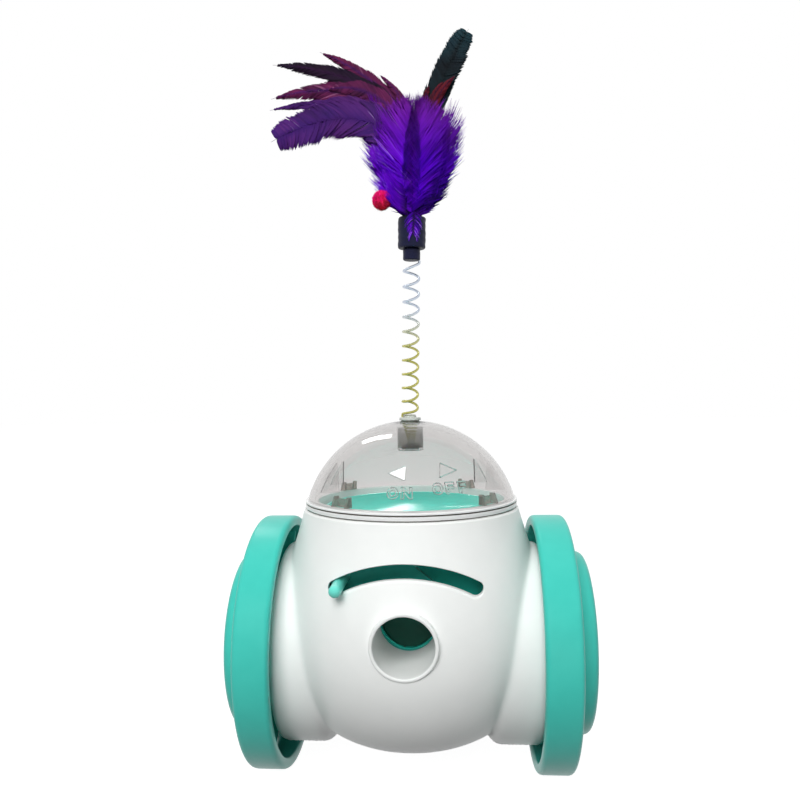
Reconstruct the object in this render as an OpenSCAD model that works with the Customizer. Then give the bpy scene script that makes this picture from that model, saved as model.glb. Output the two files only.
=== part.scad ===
// Treat-dispensing toy car for a cat: a weighted pot between two wheels, with a clear
// twist-lock lid, a feather wand on a coil spring, and a gate that opens the treat outlet.
// Millimetres. X runs along the axle, -Y is the front and Z is up. The origin is on the
// floor under the middle of the axle. Heights called up and down are from the axle.

/* [Wheels] */
// Radius of the wheels
wheel_r = 45; // [44:0.5:52]
// Width of the tread
tread_w = 11.8; // [10.5:0.1:15]
// Wall of the rim
rim_wall = 3.8; // [3:0.1:4.5]
// Rounding of the tread's edges
tread_round = 1.8; // [0.8:0.1:2.4]
// Depth that the drum reaches into the wheel
wheel_overlap = 2.4; // [1:0.1:4]
// Thickness of the wheel's web
web_t = 2.4; // [1.6:0.1:3]
// Ribs on the inside of the web
rib_count = 6; // [4:1:8]
// Radius of the wheel's hub tube
hub_r = 5.5; // [4.5:0.1:7]
// Radius of the hub cap
cap_r = 31.9; // [28:0.1:36]
// Height of the hub cap above the web
cap_h = 6.7; // [6.3:0.1:9]
// Wall of the hub cap
cap_wall = 2; // [1.4:0.1:2.4]
// Rounding of the hub cap's edge
cap_round = 3; // [2:0.1:4]

/* [Axle] */
// Radius of the axle
axle_r = 2; // [1.6:0.1:2.6]
// Thickness of the washer between drum and wheel
spacer_t = 1; // [0.6:0.1:1.6]
// Thickness of the push-on clip
clip_t = 0.8; // [0.6:0.1:1]
// Length of axle past the clip
axle_tail = 0.8; // [0.5:0.1:1.2]

/* [Pot] */
// Largest radius of the pot
belly_r = 48.5; // [47.5:0.1:50.5]
// Height of the largest radius over the axle
belly_up = 6; // [3:0.1:9]
// Radius of the pot's top edge
neck_r = 37.9; // [36.5:0.1:39.5]
// Height of the pot's top edge over the axle
neck_up = 49.5; // [48:0.1:54]
// Radius of the flat under the pot
base_r = 16; // [12:0.1:20]
// Depth of that flat under the axle
base_down = 32.5; // [32:0.1:34.5]
// Wall of the casing
wall = 2.2; // [1.8:0.1:2.6]
// Radius of the drum at each side
drum_r = 35.3; // [34.5:0.1:37.5]
// Distance from the middle to the drum's end face
drum_end_x = 45.2; // [44.5:0.1:48]
// Distance from the middle to the drum's rounded inner end
drum_in_x = 25.5; // [24:0.1:28]

/* [Casing screws] */
// Radius of the screw posts
post_r = 4.2; // [4:0.1:4.6]
// Distance of the upper posts from the middle
upper_post_x = 31; // [30:0.1:32]
// Depth of the upper posts under the pot's top edge
upper_post_down = 15; // [14:0.1:16]
// Distance of the lower posts from the middle
lower_post_x = 22; // [19:0.1:23]
// Height of the lower posts over the flat under the pot
lower_post_up = 12.5; // [12:0.1:13.5]
// Radius of the screw's thread
screw_r = 1.45; // [1.2:0.05:1.7]
// Length of the screw's shank
screw_len = 17; // [12:0.5:20]

/* [Treat outlet] */
// Radius of the outlet
outlet_r = 9.5; // [8.5:0.1:10.5]
// Height of the outlet over the axle
outlet_up = 13.5; // [12.5:0.1:14.5]
// Wall of the outlet's tunnel
tunnel_wall = 1.2; // [1:0.1:1.8]
// Height of the tunnel's rim over the belly
rim_proud = 0.4; // [0.2:0.1:1]

/* [Gate] */
// Distance from the axle to the front of the gate
gate_y = 23.5; // [22.8:0.1:24.2]
// Thickness of the gate
gate_t = 2; // [1.6:0.1:2.4]
// Depth of the gate's pivot under the axle
pivot_down = 8; // [7.4:0.1:8.8]
// Radius of the lever's slot about the pivot
slot_r = 43; // [42:0.1:43.6]
// Width of the lever's slot
slot_w = 4.4; // [4:0.1:4.8]
// Swing of the gate from open to shut
gate_swing = 59; // [56:1:60]
// Radius of the lever's pin
lever_r = 1.95; // [1.6:0.05:2]
// Length of the lever past the pot's front at the middle of the slot
lever_proud = 3.6; // [2.2:0.1:6]

/* [Hopper] */
// Wall of the hopper
hopper_wall = 1.6; // [1.2:0.1:2]
// Inner radius of the chute
chute_r = 12; // [11:0.1:12.4]
// Slope of the chute's floor
chute_slope = 30; // [25:1:35]
// Depth of the dish under the hopper's lip
dish_depth = 8; // [6:0.1:9]

/* [Lid] */
// Wall of the dome
dome_t = 2; // [1.6:0.1:2.4]
// Depth of the dome's centre under its seat
dome_drop = 8.6; // [7:0.1:11]
// Height of the band round the dome's foot
band_h = 2.6; // [2:0.1:3.4]
// Angle covered by each locking lug
lug_span = 22; // [16:1:24]
// Turn that frees the lid
lid_turn = 25; // [25:1:30]
// Outer radius of the socket under the dome's top
socket_r = 4.6; // [4:0.1:5.2]
// Depth of the socket
socket_len = 10.7; // [8:0.1:13]
// Radius of the plug in the socket
plug_r = 3.1; // [2.8:0.1:3.3]
// Thickness of the plug's flange
plug_flange_t = 1; // [0.8:0.1:2]

/* [Wand] */
// Outside diameter of the spring
spring_d = 6.3; // [5.8:0.1:7.4]
// Diameter of the spring's wire
wire_d = 0.9; // [0.7:0.05:1]
// Length of the spring
spring_len = 54.6; // [45:0.1:70]
// Turns of the spring
spring_turns = 10.5; // [8:0.5:13]
// Lean of the wand to the right
wand_lean = 1.3; // [0:0.1:3]
// Radius of the collar on the spring's top
collar_r = 3; // [2.8:0.1:4]
// Height of the collar
collar_h = 4.1; // [3:0.1:6]
// Radius of the feather sleeve
sleeve_r = 4.8; // [4:0.1:6]
// Height of the feather sleeve
sleeve_h = 10.6; // [8:0.1:14]

/* [Feathers] */
// Length of the fluffy tuft
plume_len = 42; // [36:0.5:50]
// Largest radius of the tuft
plume_r = 15; // [12:0.1:16]
// Lean of the tuft to the right
plume_lean = 5; // [0:0.5:8]
// Thickness of a long feather
vane_t = 1.2; // [0.8:0.1:1.6]
// Radius of the small ball
pompom_r = 3.4; // [2.8:0.1:3.6]

/* [Hidden] */
$fn = 96;

// Colours
white_abs = [0.96, 0.97, 0.96];
teal = [0.25, 0.78, 0.71];
pale_teal = [0.45, 0.87, 0.81];
steel = [0.72, 0.74, 0.76];
black = [0.08, 0.08, 0.1];

// Clearances
press_gap = 0.05;
run_gap = 0.08;
slide_gap = 0.3;
seat_gap = 0.1;
side_play = 0.2;
// Length by which cuts run past a face
over = 1;

// Places along the axle
axle_z = wheel_r;
wheel_in_x = drum_end_x - wheel_overlap;
wheel_out_x = wheel_in_x + tread_w;
web_in_x = wheel_out_x - web_t;
rim_in_r = wheel_r - rim_wall;
hub_in_x = drum_end_x + spacer_t + 2 * side_play;
cap_out_x = wheel_out_x + cap_h;
tail_gap = 0.6;
hub_out_x = cap_out_x - cap_wall - tail_gap - axle_tail - clip_t - side_play;
clip_x = hub_out_x + side_play;
axle_end_x = clip_x + clip_t + axle_tail;
rib_gap = 1.6;
rib_t = 2;
washer_r = 4.6;
snap_r = 2;
snap_at = 20;
snap_count = 3;
axle_post_r = 5.5;
axle_post_len = 8;

// Shape of the pot
belly_rise = 0.345 * (neck_up - belly_up);
belly_fall = 0.58 * (belly_up + base_down);
neck_drop = 0.36 * (neck_up - belly_up);
neck_flare = 0.094 * (neck_up - belly_up);
curve_steps = 8;
drum_round_in = 6;
drum_round_out = 1.8;
arc_steps = 6;

// Screw posts: distance from the middle and height over the axle
head_r = 2.8;
head_h = 2;
head_y = 6;
head_gap = 0.3;
upper_post = [upper_post_x, neck_up - upper_post_down];
lower_post = [lower_post_x, lower_post_up - base_down];
posts = [for (s = [-1, 1]) for (p = [upper_post, lower_post]) [s * p[0], p[1]]];

// Counterweight
weight_gap = 0.5;
weight_low = wall - base_down + weight_gap;
weight_h = 0.37 * (belly_up + base_down);
weight_mid = weight_low + 0.55 * weight_h;
weight_top = weight_low + weight_h;
weight_foot_r = 1.125 * base_r;
weight_r = 0.68 * belly_r;

// Gate
pivot_z = -pivot_down;
gate_back_y = gate_y - gate_t;
window_at = outlet_up + pivot_down;
window_r = outlet_r + slide_gap;
blade_r = outlet_r + 1.4;
gate_rim = 2.2;
fan_r = window_at + blade_r + 1.6;
fan_hi = asin((window_r + gate_rim) / window_at);
fan_lo = -gate_swing - asin(blade_r / window_at) - 0.5;
rest_angle = -gate_swing / 2;
gate_hub_r = 5.5;
arm_w = 9;
head_half = 3.75;
head_back = 7;
shoulder_r = 2.5;
pivot_thread_r = 1.45;
pivot_thread_len = 8;
pivot_head_r = 4.4;
pivot_head_h = 2;
pivot_post_r = 4.5;
gate_washer_t = 0.6;
gate_washer_y = gate_back_y - side_play;
spigot_r = 1.5;
lever_x = slot_r * sin(rest_angle);
lever_z = pivot_z + slot_r * cos(rest_angle);
// Angle left free at each end of the slot
slot_spare = 1.5;
slot_half = gate_swing / 2 + slot_spare;
// Lever's end: the pot's front at the middle of the slot, and the length past it
slot_front_y = lookup(pivot_z + slot_r, [for (p = pot_upper(0)) [p[1], p[0]]]);
lever_end_y = slot_front_y + lever_proud;
// Slanted edge between the lever's arm and the fan
web_angle = 30;
web_r = 0.98 * fan_r;
// Depth of the gate's head under the lever's circle
head_in = 7;

// Lid seat: radii step inwards from the pot's neck
neck_in_r = neck_r - wall;
bead_in_r = neck_in_r - 0.8;
ledge_in_r = bead_in_r - 1.5;
rest_flange_r = bead_in_r + 1.2;
rest_room_r = rest_flange_r + 0.4;
skirt_out_r = bead_in_r - slide_gap;
skirt_in_r = skirt_out_r - 1.6;
hook_r = skirt_in_r - 0.4;
lug_in_r = skirt_in_r - 1.6;
lip_r = lug_in_r - 0.7;
lug_t = 1.6;
lug_count = 4;
lug_start = 51.5;
stop_span = 3;
// Short fins over each lug, and a tall gusset beside it
fin_t = 0.8;
fin_h = 2.2;
fin_at = 2.6;
gusset_in_r = lip_r - 3.2;
gusset_at = 20;

// Heights of the lid seat
lip_top = neck_up + 0.8;
rest_low = neck_up - 9.5;
rest_top = rest_low + hopper_wall;
ledge_t = 2.1;
bead_h = 1.2;
ledge_top = rest_low - seat_gap;
ledge_low = ledge_top - ledge_t;
bead_low = rest_top + seat_gap;
bead_top = bead_low + bead_h;
lid_seat = neck_up + slide_gap;
skirt_low = rest_top + 0.4;
hook_low = skirt_low + lug_t + slide_gap;
flange_r = neck_r - 0.3;
dome_r = neck_r + 0.6;
dome_z = lid_seat - dome_drop;
dome_top = dome_z + dome_r;
socket_low = dome_top - socket_len;

// Chute
plate_y = gate_back_y - 0.4;
plate_half = outlet_r + 3.8;
guide_half = upper_post_x - post_r - 6 * slide_gap;
guide_top = rest_low + hopper_wall / 2;
chute_y = -(plate_y - slide_gap - hopper_wall - chute_r);
floor_y = -(plate_y - hopper_wall);
floor_z = outlet_up - outlet_r;

// Wand: heights from the top of the plug's flange
wand_z = axle_z + dome_top + seat_gap + plug_flange_t;
plug_flange_r = plug_r + 0.7;
plug_low = socket_low + 0.8;
coil_r = (spring_d - wire_d) / 2;
spigot_len = 1;
spigot_top_r = coil_r - wire_d / 2 - 0.15;
rings_per_turn = 8;
wire_sides = 6;
pitch_change = 0.08;
collar_z = spring_len + press_gap;
sleeve_z = collar_z + collar_h;
feather_z = sleeve_z + sleeve_h;

// Long feathers, from the top of the sleeve: root, bend and tip in the XZ plane, depth, width
vane_low = plume_len / 100 * [[0, 43], [-38, 100], [-119, 55], -12.4, 26];
vane_mid = plume_len / 100 * [[0, 52], [-43, 112], [-119, 90], -6.2, 21];
vane_high = plume_len / 100 * [[0, 62], [-38, 124], [-119, 112], 0, 19];
vane_top = plume_len / 100 * [[2, 67], [-33, 133], [-117, 132], 6.2, 17];
vane_back = plume_len / 100 * [[5, 71], [-19, 124], [-79, 140], 12.4, 19];
vane_green = plume_len / 100 * [[12, 71], [24, 114], [49, 144], 0, 21];
vane_steps = 12;
plume_lift = seat_gap + sleeve_r * sin(plume_lean);
pompom_at = plume_len / 100 * [-23.4, -18.2, 9.7];

// Points of an arc round a centre
function arc(centre, r, from, to) =
    [for (i = [0:arc_steps]) let (a = from + (to - from) * i / arc_steps) centre + r * [cos(a), sin(a)]];

// Points of a cubic curve
function cubic(p) =
    [for (i = [0:curve_steps]) let (t = i / curve_steps, u = 1 - t)
        u * u * u * p[0] + 3 * u * u * t * p[1] + 3 * u * t * t * p[2] + t * t * t * p[3]];

function unit(v) = v / norm(v);
function backwards(list) = [for (i = [len(list) - 1:-1:0]) list[i]];

// The pot's curves, radius against height, drawn in by an inset
function pot_upper(inset) =
    let (neck = [neck_r - inset, neck_up], belly = [belly_r - inset, belly_up])
    cubic([belly, belly + [0, belly_rise], neck + [neck_flare, -neck_drop], neck]);
function pot_lower(inset) =
    let (belly = [belly_r - inset, belly_up], base = [base_r, inset - base_down])
    backwards(cubic([belly, belly - [0, belly_fall], base + [base_r, 0], base]));

// Outline of the solid pot
function pot_outline(inset) =
    concat([[0, inset - base_down]], pot_lower(inset),
        [for (i = [1:curve_steps]) pot_upper(inset)[i]], [[0, neck_up]]);

// Outline of the space in the pot, stepped at the top for the hopper's ledge and bead
function room_outline() =
    let (side = pot_upper(wall), widths = [for (p = side) [p[1], p[0]]])
    concat([[0, wall - base_down]], pot_lower(wall),
        [for (i = [1:curve_steps]) if (side[i][1] < ledge_low - over) side[i]],
        [[lookup(ledge_low, widths), ledge_low], [ledge_in_r, ledge_low], [ledge_in_r, ledge_top],
            [rest_room_r, ledge_top], [rest_room_r, bead_low], [bead_in_r, bead_low],
            [bead_in_r, bead_top], [neck_in_r, bead_top], [neck_in_r, neck_up + over],
            [0, neck_up + over]]);

// Outline of a drum, radius against distance along the axle, drawn in by an inset
function drum_outline(inset) =
    let (r_in = drum_round_in - inset, start = drum_r - drum_round_in)
    inset > 0
        ? concat([[0, drum_in_x + inset]], arc([start, drum_in_x + drum_round_in], r_in, -90, 0),
            [[drum_r - inset, drum_end_x - inset], [0, drum_end_x - inset]])
        : concat([[0, drum_in_x]], arc([start, drum_in_x + drum_round_in], r_in, -90, 0),
            arc([drum_r - drum_round_out, drum_end_x - drum_round_out], drum_round_out, 0, 90),
            [[0, drum_end_x]]);

// Faces of a closed tube of rings that each have the same count of sides
function tube_faces(rings, sides) =
    concat(
        [for (s = [1:sides - 2]) [0, s, s + 1]],
        [for (k = [0:rings - 2]) for (s = [0:sides - 1]) let (n = (s + 1) % sides)
            [k * sides + s, (k + 1) * sides + n, k * sides + n]],
        [for (k = [0:rings - 2]) for (s = [0:sides - 1]) let (n = (s + 1) % sides)
            [k * sides + s, (k + 1) * sides + s, (k + 1) * sides + n]],
        [for (s = [1:sides - 2]) let (e = (rings - 1) * sides) [e, e + s + 1, e + s]]);

// The spring's wire: straight for one wire diameter at each end, a helix between
coil_rings = rings_per_turn * spring_turns;
coil_start = 180;
function coil_share(u) = u - pitch_change * u * (1 - u);
function coil_point(k) =
    let (a = coil_start + 360 * k / rings_per_turn)
    [coil_r * cos(a), coil_r * sin(a), wire_d + (spring_len - 2 * wire_d) * coil_share(k / coil_rings)];
coil_path = concat([[coil_point(0)[0], coil_point(0)[1], 0]], [for (k = [0:coil_rings]) coil_point(k)],
    [[coil_point(coil_rings)[0], coil_point(coil_rings)[1], spring_len]]);
coil_last = len(coil_path) - 1;
function coil_heading(k) =
    k == 0 || k == coil_last ? [0, 0, 1] : unit(coil_path[k + 1] - coil_path[k - 1]);
coil_points = [for (k = [0:coil_last])
    let (p = coil_path[k], t = coil_heading(k), out = unit([p[0], p[1], 0]),
        n = unit(out - (out * t) * t), b = cross(t, n))
    for (s = [0:wire_sides - 1]) let (a = 360 * s / wire_sides)
        p + wire_d / 2 * (cos(a) * n + sin(a) * b)];
coil_gap = min([for (i = [0:coil_last - 5]) for (j = [i + 5:coil_last])
    norm(coil_path[i] - coil_path[j])]) - wire_d;
echo(spring_least_gap_mm = coil_gap);

// A long feather: a flat blade along a quadratic curve, wide in the middle and fine at its tip
function vane_spot(v, t) = (1 - t) * (1 - t) * v[0] + 2 * t * (1 - t) * v[1] + t * t * v[2];
function vane_heading(v, t) = unit((1 - t) * (v[1] - v[0]) + t * (v[2] - v[1]));
function vane_width(v, t) = v[4] * (0.06 + 0.94 * pow(sin(180 * pow(0.12 + 0.88 * t, 0.75)), 0.8));
function vane_points(v) =
    [for (k = [0:vane_steps])
        let (t = k / vane_steps, p = vane_spot(v, t), d = vane_heading(v, t),
            w = vane_width(v, t) / 2, thick = vane_t / 2 * (1 - 0.6 * t))
        for (q = [[-d[1] * w, 0, d[0] * w], [0, -thick, 0], [d[1] * w, 0, -d[0] * w], [0, thick, 0]])
            [p[0], v[3], p[1]] + q];

module at_axle() {
    translate([0, 0, axle_z])
        children();
}

module at_wand() {
    translate([0, 0, wand_z])
        rotate([0, wand_lean, 0])
            children();
}

module at_feathers() {
    at_wand()
        translate([0, 0, feather_z])
            children();
}

// A cylinder along the axle
module along_x(from, to, r) {
    translate([from, 0, 0])
        rotate([0, 90, 0])
            cylinder(h = to - from, r = r);
}

// A cylinder from front to back
module along_y(x, z, from, to, r) {
    translate([x, from, z])
        rotate([-90, 0, 0])
            cylinder(h = to - from, r = r);
}

// An outline of radius against distance, turned about the axle
module turned_x(points) {
    rotate([0, 90, 0])
        rotate_extrude()
            polygon(points);
}

module ring(r_out, r_in, from, to) {
    translate([0, 0, from])
        difference() {
            cylinder(h = to - from, r = r_out);
            translate([0, 0, -over])
                cylinder(h = to - from + 2 * over, r = r_in);
        }
}

// A part of a ring, from one angle to another
module ring_part(r_out, r_in, from, to, angle, span) {
    rotate([0, 0, angle])
        translate([0, 0, from])
            rotate_extrude(angle = span)
                translate([r_in, 0])
                    square([r_out - r_in, to - from]);
}

// Both sides of the car
module both_sides() {
    children();
    mirror([1, 0, 0])
        children();
}

// A flat shape about the gate's pivot, with its front face at a distance before the axle
module gate_plane(front_y, thick) {
    translate([0, thick - front_y, pivot_z])
        rotate([90, 0, 0])
            linear_extrude(height = thick)
                children();
}

// A sector from one angle to another, measured from straight up towards the right
module sector(r, from, to) {
    steps = 8;
    polygon(concat([[0, 0]],
        [for (i = [0:steps]) let (a = from + (to - from) * i / steps) r * [sin(a), cos(a)]]));
}

module band_sector(r_out, r_in, from, to) {
    intersection() {
        difference() {
            circle(r_out);
            circle(r_in);
        }
        sector(2 * r_out, from, to);
    }
}

// An upright solid of revolution, cut off at a distance from the middle on both sides
module turned_z(points, half_x) {
    span = 4 * belly_r;
    intersection() {
        rotate_extrude()
            polygon(points);
        translate([-half_x, -span / 2, -span / 2])
            cube([2 * half_x, span, span]);
    }
}

module drums(inset) {
    both_sides()
        turned_x(drum_outline(inset));
}

// Walls of the whole casing
module casing_walls() {
    difference() {
        union() {
            turned_z(pot_outline(0), drum_end_x - wall / 2);
            drums(0);
        }
        turned_z(room_outline(), drum_end_x - 1.5 * wall);
        drums(wall);
    }
}

// Posts inside the casing, trimmed to its walls
module casing_fittings() {
    intersection() {
        union() {
            for (p = posts)
                along_y(p[0], p[1], -belly_r, belly_r, post_r);
            along_y(0, pivot_z, -belly_r, -gate_y - slide_gap, pivot_post_r);
        }
        rotate_extrude()
            polygon(pot_outline(wall / 2));
    }
    both_sides()
        along_x(drum_end_x - axle_post_len, drum_end_x - wall / 2, axle_post_r);
}

// Outline of the lever's slot: an arc about the pivot with round ends
slot_steps = 12;
slot_end_steps = 6;
function slot_side(r, from, to) =
    [for (i = [0:slot_steps]) let (a = from + (to - from) * i / slot_steps) r * [sin(a), cos(a)]];
function slot_end(angle, from) =
    [for (i = [1:slot_end_steps - 1]) let (a = from + 180 * i / slot_end_steps)
        slot_r * [sin(angle), cos(angle)] + slot_w / 2 * [sin(a), cos(a)]];
slot_outline = concat(
    slot_side(slot_r + slot_w / 2, -slot_half, slot_half), slot_end(slot_half, slot_half),
    slot_side(slot_r - slot_w / 2, slot_half, -slot_half), slot_end(-slot_half, 180 - slot_half));

module slot_cut() {
    gate_plane(belly_r + over, belly_r - gate_y)
        polygon(slot_outline);
}

module front_shell() {
    color(white_abs)
        at_axle()
            difference() {
                intersection() {
                    union() {
                        casing_walls();
                        casing_fittings();
                        along_y(0, outlet_up, -belly_r - rim_proud, -gate_y - slide_gap, outlet_r + tunnel_wall);
                    }
                    translate([-2 * belly_r, -2 * belly_r, -2 * belly_r])
                        cube([4 * belly_r, 2 * belly_r, 4 * belly_r]);
                }
                along_x(-drum_end_x - over, drum_end_x + over, axle_r + press_gap);
                along_y(0, outlet_up, -belly_r - rim_proud - over, -gate_y + over, outlet_r);
                along_y(0, pivot_z, -gate_y - slide_gap - pivot_thread_len - over, -gate_y + over,
                    pivot_thread_r + press_gap);
                slot_cut();
                for (p = posts)
                    along_y(p[0], p[1], head_y - screw_len - over, over, screw_r + press_gap);
            }
}

module rear_shell() {
    color(white_abs)
        at_axle()
            difference() {
                intersection() {
                    union() {
                        casing_walls();
                        casing_fittings();
                    }
                    translate([-2 * belly_r, 0, -2 * belly_r])
                        cube([4 * belly_r, 2 * belly_r, 4 * belly_r]);
                }
                along_x(-drum_end_x - over, drum_end_x + over, axle_r + press_gap);
                for (p = posts) {
                    along_y(p[0], p[1], -over, head_y + over, screw_r + seat_gap);
                    along_y(p[0], p[1], head_y, belly_r + over, head_r + head_gap);
                }
            }
}

module shell_screws() {
    drive_w = 0.8;
    drive_depth = 0.9;
    color(steel)
        at_axle()
            for (p = posts)
                difference() {
                    union() {
                        along_y(p[0], p[1], head_y - screw_len, head_y + head_h / 2, screw_r);
                        along_y(p[0], p[1], head_y, head_y + head_h, head_r);
                    }
                    translate([p[0], head_y + head_h, p[1]])
                        for (a = [0, 90])
                            rotate([0, a, 0])
                                cube([1.4 * head_r, 2 * drive_depth, drive_w], center = true);
                }
}

module counterweight() {
    color([0.28, 0.29, 0.3])
        at_axle()
            difference() {
                rotate_extrude()
                    polygon([[0, weight_low], [weight_foot_r, weight_low], [weight_r, weight_mid],
                        [weight_r, weight_top], [0, weight_top]]);
                for (s = [-1, 1])
                    along_y(s * lower_post[0], lower_post[1], -belly_r, belly_r, post_r + slide_gap);
            }
}

module axle() {
    color(steel)
        at_axle()
            along_x(-axle_end_x, axle_end_x, axle_r);
}

module axle_spacers() {
    color([0.9, 0.9, 0.86])
        at_axle()
            both_sides()
                difference() {
                    along_x(drum_end_x + side_play, drum_end_x + side_play + spacer_t, washer_r);
                    along_x(drum_end_x, hub_in_x, axle_r + run_gap);
                }
}

module axle_clips() {
    color(steel)
        at_axle()
            both_sides()
                difference() {
                    along_x(clip_x, clip_x + clip_t, washer_r);
                    along_x(hub_out_x, axle_end_x, axle_r + press_gap);
                }
}

// A wheel on the right side
module wheel() {
    hub_join = 0.5;
    rib_from = drum_end_x + rib_gap;
    difference() {
        union() {
            turned_x(concat([[rim_in_r, wheel_in_x]],
                arc([wheel_r - tread_round, wheel_in_x + tread_round], tread_round, -90, 0),
                arc([wheel_r - tread_round, wheel_out_x - tread_round], tread_round, 0, 90),
                [[hub_r - hub_join, wheel_out_x], [hub_r - hub_join, web_in_x], [rim_in_r, web_in_x]]));
            along_x(hub_in_x, hub_out_x, hub_r);
            for (i = [0:rib_count - 1])
                rotate([360 * i / rib_count, 0, 0])
                    translate([rib_from, hub_r - hub_join, -rib_t / 2])
                        cube([web_in_x + hub_join - rib_from, rim_in_r - hub_r + 2 * hub_join, rib_t]);
        }
        along_x(hub_in_x - over, hub_out_x + over, axle_r + run_gap);
        snap_pins(web_in_x - over, wheel_out_x + over, snap_r + seat_gap);
    }
}

// Pins that hold the hub cap, set between the ribs
module snap_pins(from, to, r) {
    for (i = [0:snap_count - 1])
        rotate([360 * i / snap_count + 180 / rib_count, 0, 0])
            translate([0, snap_at, 0])
                along_x(from, to, r);
}

// A hub cap on the right side
module hub_cap() {
    seat_x = wheel_out_x + press_gap;
    turned_x(concat([[cap_r - cap_wall, seat_x], [cap_r, seat_x]],
        arc([cap_r - cap_round, cap_out_x - cap_round], cap_round, 0, 90),
        [[0, cap_out_x], [0, cap_out_x - cap_wall],
            [cap_r - cap_round, cap_out_x - cap_wall], [cap_r - cap_wall, cap_out_x - cap_round]]));
    snap_pins(web_in_x - side_play, cap_out_x - cap_wall / 2, snap_r);
}

module left_wheel() {
    color(teal)
        at_axle()
            mirror([1, 0, 0])
                wheel();
}

module right_wheel() {
    color(teal)
        at_axle()
            wheel();
}

module left_hub_cap() {
    color(teal)
        at_axle()
            mirror([1, 0, 0])
                hub_cap();
}

module right_hub_cap() {
    color(teal)
        at_axle()
            hub_cap();
}

// Everything under the sloping floor of the chute
module under_floor(drop) {
    span = 4 * belly_r;
    translate([0, floor_y, floor_z])
        rotate([chute_slope, 0, 0])
            translate([-span / 2, -span / 2, -span - drop])
                cube([span, span, span]);
}

// Outline of the dish with its lip, wall and rest flange
function dish_curve(drop) =
    let (rim = [lip_r - hopper_wall, lip_top], low = [chute_r / 2, lip_top - dish_depth])
    cubic([rim - [0, drop], [0.92 * rim[0], low[1] + 0.35 * dish_depth - drop],
        [0.7 * rim[0], low[1] - drop], low - [0, drop]]);

module dish() {
    rotate_extrude() {
        polygon(concat([[lip_r, lip_top]], dish_curve(0), [[0, lip_top - dish_depth]],
            [[0, lip_top - dish_depth - hopper_wall]], backwards(dish_curve(hopper_wall)),
            [[lip_r, lip_top - 2 * hopper_wall]]));
        translate([lip_r - hopper_wall, rest_low])
            square([hopper_wall, lip_top - rest_low]);
        translate([lip_r - hopper_wall, rest_low])
            square([rest_flange_r - lip_r + hopper_wall, hopper_wall]);
    }
}

module hopper() {
    chute_top = lip_top - dish_depth - hopper_wall / 2;
    color(teal)
        at_axle() {
            difference() {
                union() {
                    dish();
                    difference() {
                        union() {
                            translate([0, chute_y, floor_z - hopper_wall])
                                cylinder(h = chute_top - floor_z + hopper_wall, r = chute_r + hopper_wall);
                            translate([-guide_half, -plate_y, outlet_up - plate_half])
                                cube([2 * guide_half, hopper_wall, guide_top - outlet_up + plate_half]);
                        }
                        difference() {
                            under_floor(hopper_wall);
                            translate([-belly_r, -belly_r, -belly_r])
                                cube([2 * belly_r, belly_r - plate_y + hopper_wall, 2 * belly_r]);
                        }
                    }
                }
                difference() {
                    translate([0, chute_y, floor_z])
                        cylinder(h = lip_top, r = chute_r);
                    under_floor(0);
                }
                along_y(0, outlet_up, -plate_y - over, floor_y, outlet_r + seat_gap);
                difference() {
                    along_y(0, outlet_up, floor_y - over, chute_y, outlet_r + seat_gap);
                    under_floor(0);
                }
            }
            for (i = [0:lug_count - 1]) {
                middle = lug_start + 360 * i / lug_count;
                ring_part(hook_r, lip_r - hopper_wall / 2, hook_low, hook_low + lug_t,
                    middle - lug_span / 2, lug_span);
                ring_part(hook_r, lip_r - hopper_wall / 2, rest_top - press_gap, hook_low + press_gap,
                    middle - lug_span / 2 - stop_span - 0.5, stop_span);
            }
        }
}

module gate() {
    color(teal)
        at_axle()
            gate_plane(gate_y, gate_t)
                difference() {
                    union() {
                        circle(gate_hub_r);
                        intersection() {
                            circle(fan_r);
                            sector(2 * fan_r, fan_lo, fan_hi);
                        }
                        rotate(-rest_angle)
                            translate([-arm_w / 2, window_at])
                                square([arm_w, slot_r - window_at]);
                        band_sector(slot_r + head_half, slot_r - head_in, rest_angle - head_back, 0);
                        polygon([[-head_half, window_at], web_r * [sin(web_angle), cos(web_angle)],
                            [-head_half, slot_r + head_half / 2]]);
                        translate([0, slot_r])
                            circle(head_half);
                    }
                    circle(shoulder_r + run_gap);
                    translate([0, window_at])
                        circle(window_r);
                    rotate(-rest_angle)
                        translate([0, slot_r])
                            circle(spigot_r + press_gap);
                }
}

module gate_lever() {
    color(pale_teal)
        at_axle()
            translate([lever_x, 0, lever_z]) {
                along_y(0, 0, -gate_y - over, -gate_back_y, spigot_r);
                along_y(0, 0, lever_r - lever_end_y, -gate_y, lever_r);
                translate([0, lever_r - lever_end_y, 0])
                    sphere(lever_r);
            }
}

module gate_pivot_screw() {
    head_from = -(gate_washer_y - gate_washer_t - press_gap);
    color(steel)
        at_axle() {
            along_y(0, pivot_z, -gate_y - slide_gap - pivot_thread_len, -gate_y, pivot_thread_r);
            along_y(0, pivot_z, -gate_y - slide_gap + press_gap, head_from + over, shoulder_r);
            along_y(0, pivot_z, head_from, head_from + pivot_head_h, pivot_head_r);
        }
}

module gate_washer() {
    color(steel)
        at_axle()
            difference() {
                along_y(0, pivot_z, -gate_washer_y, gate_washer_t - gate_washer_y, pivot_head_r + 0.4);
                along_y(0, pivot_z, -gate_y, 0, shoulder_r + run_gap);
            }
}

// A thin upright wall inside the dome, from a radius out to the dome's wall
module dome_fin(angle, r_in, from, height) {
    rotate([0, 0, angle])
        intersection() {
            translate([r_in, -fin_t / 2, from])
                cube([skirt_out_r + over / 2 - r_in, fin_t, height]);
            translate([0, 0, dome_z])
                sphere(dome_r - dome_t / 2);
        }
}

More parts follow.
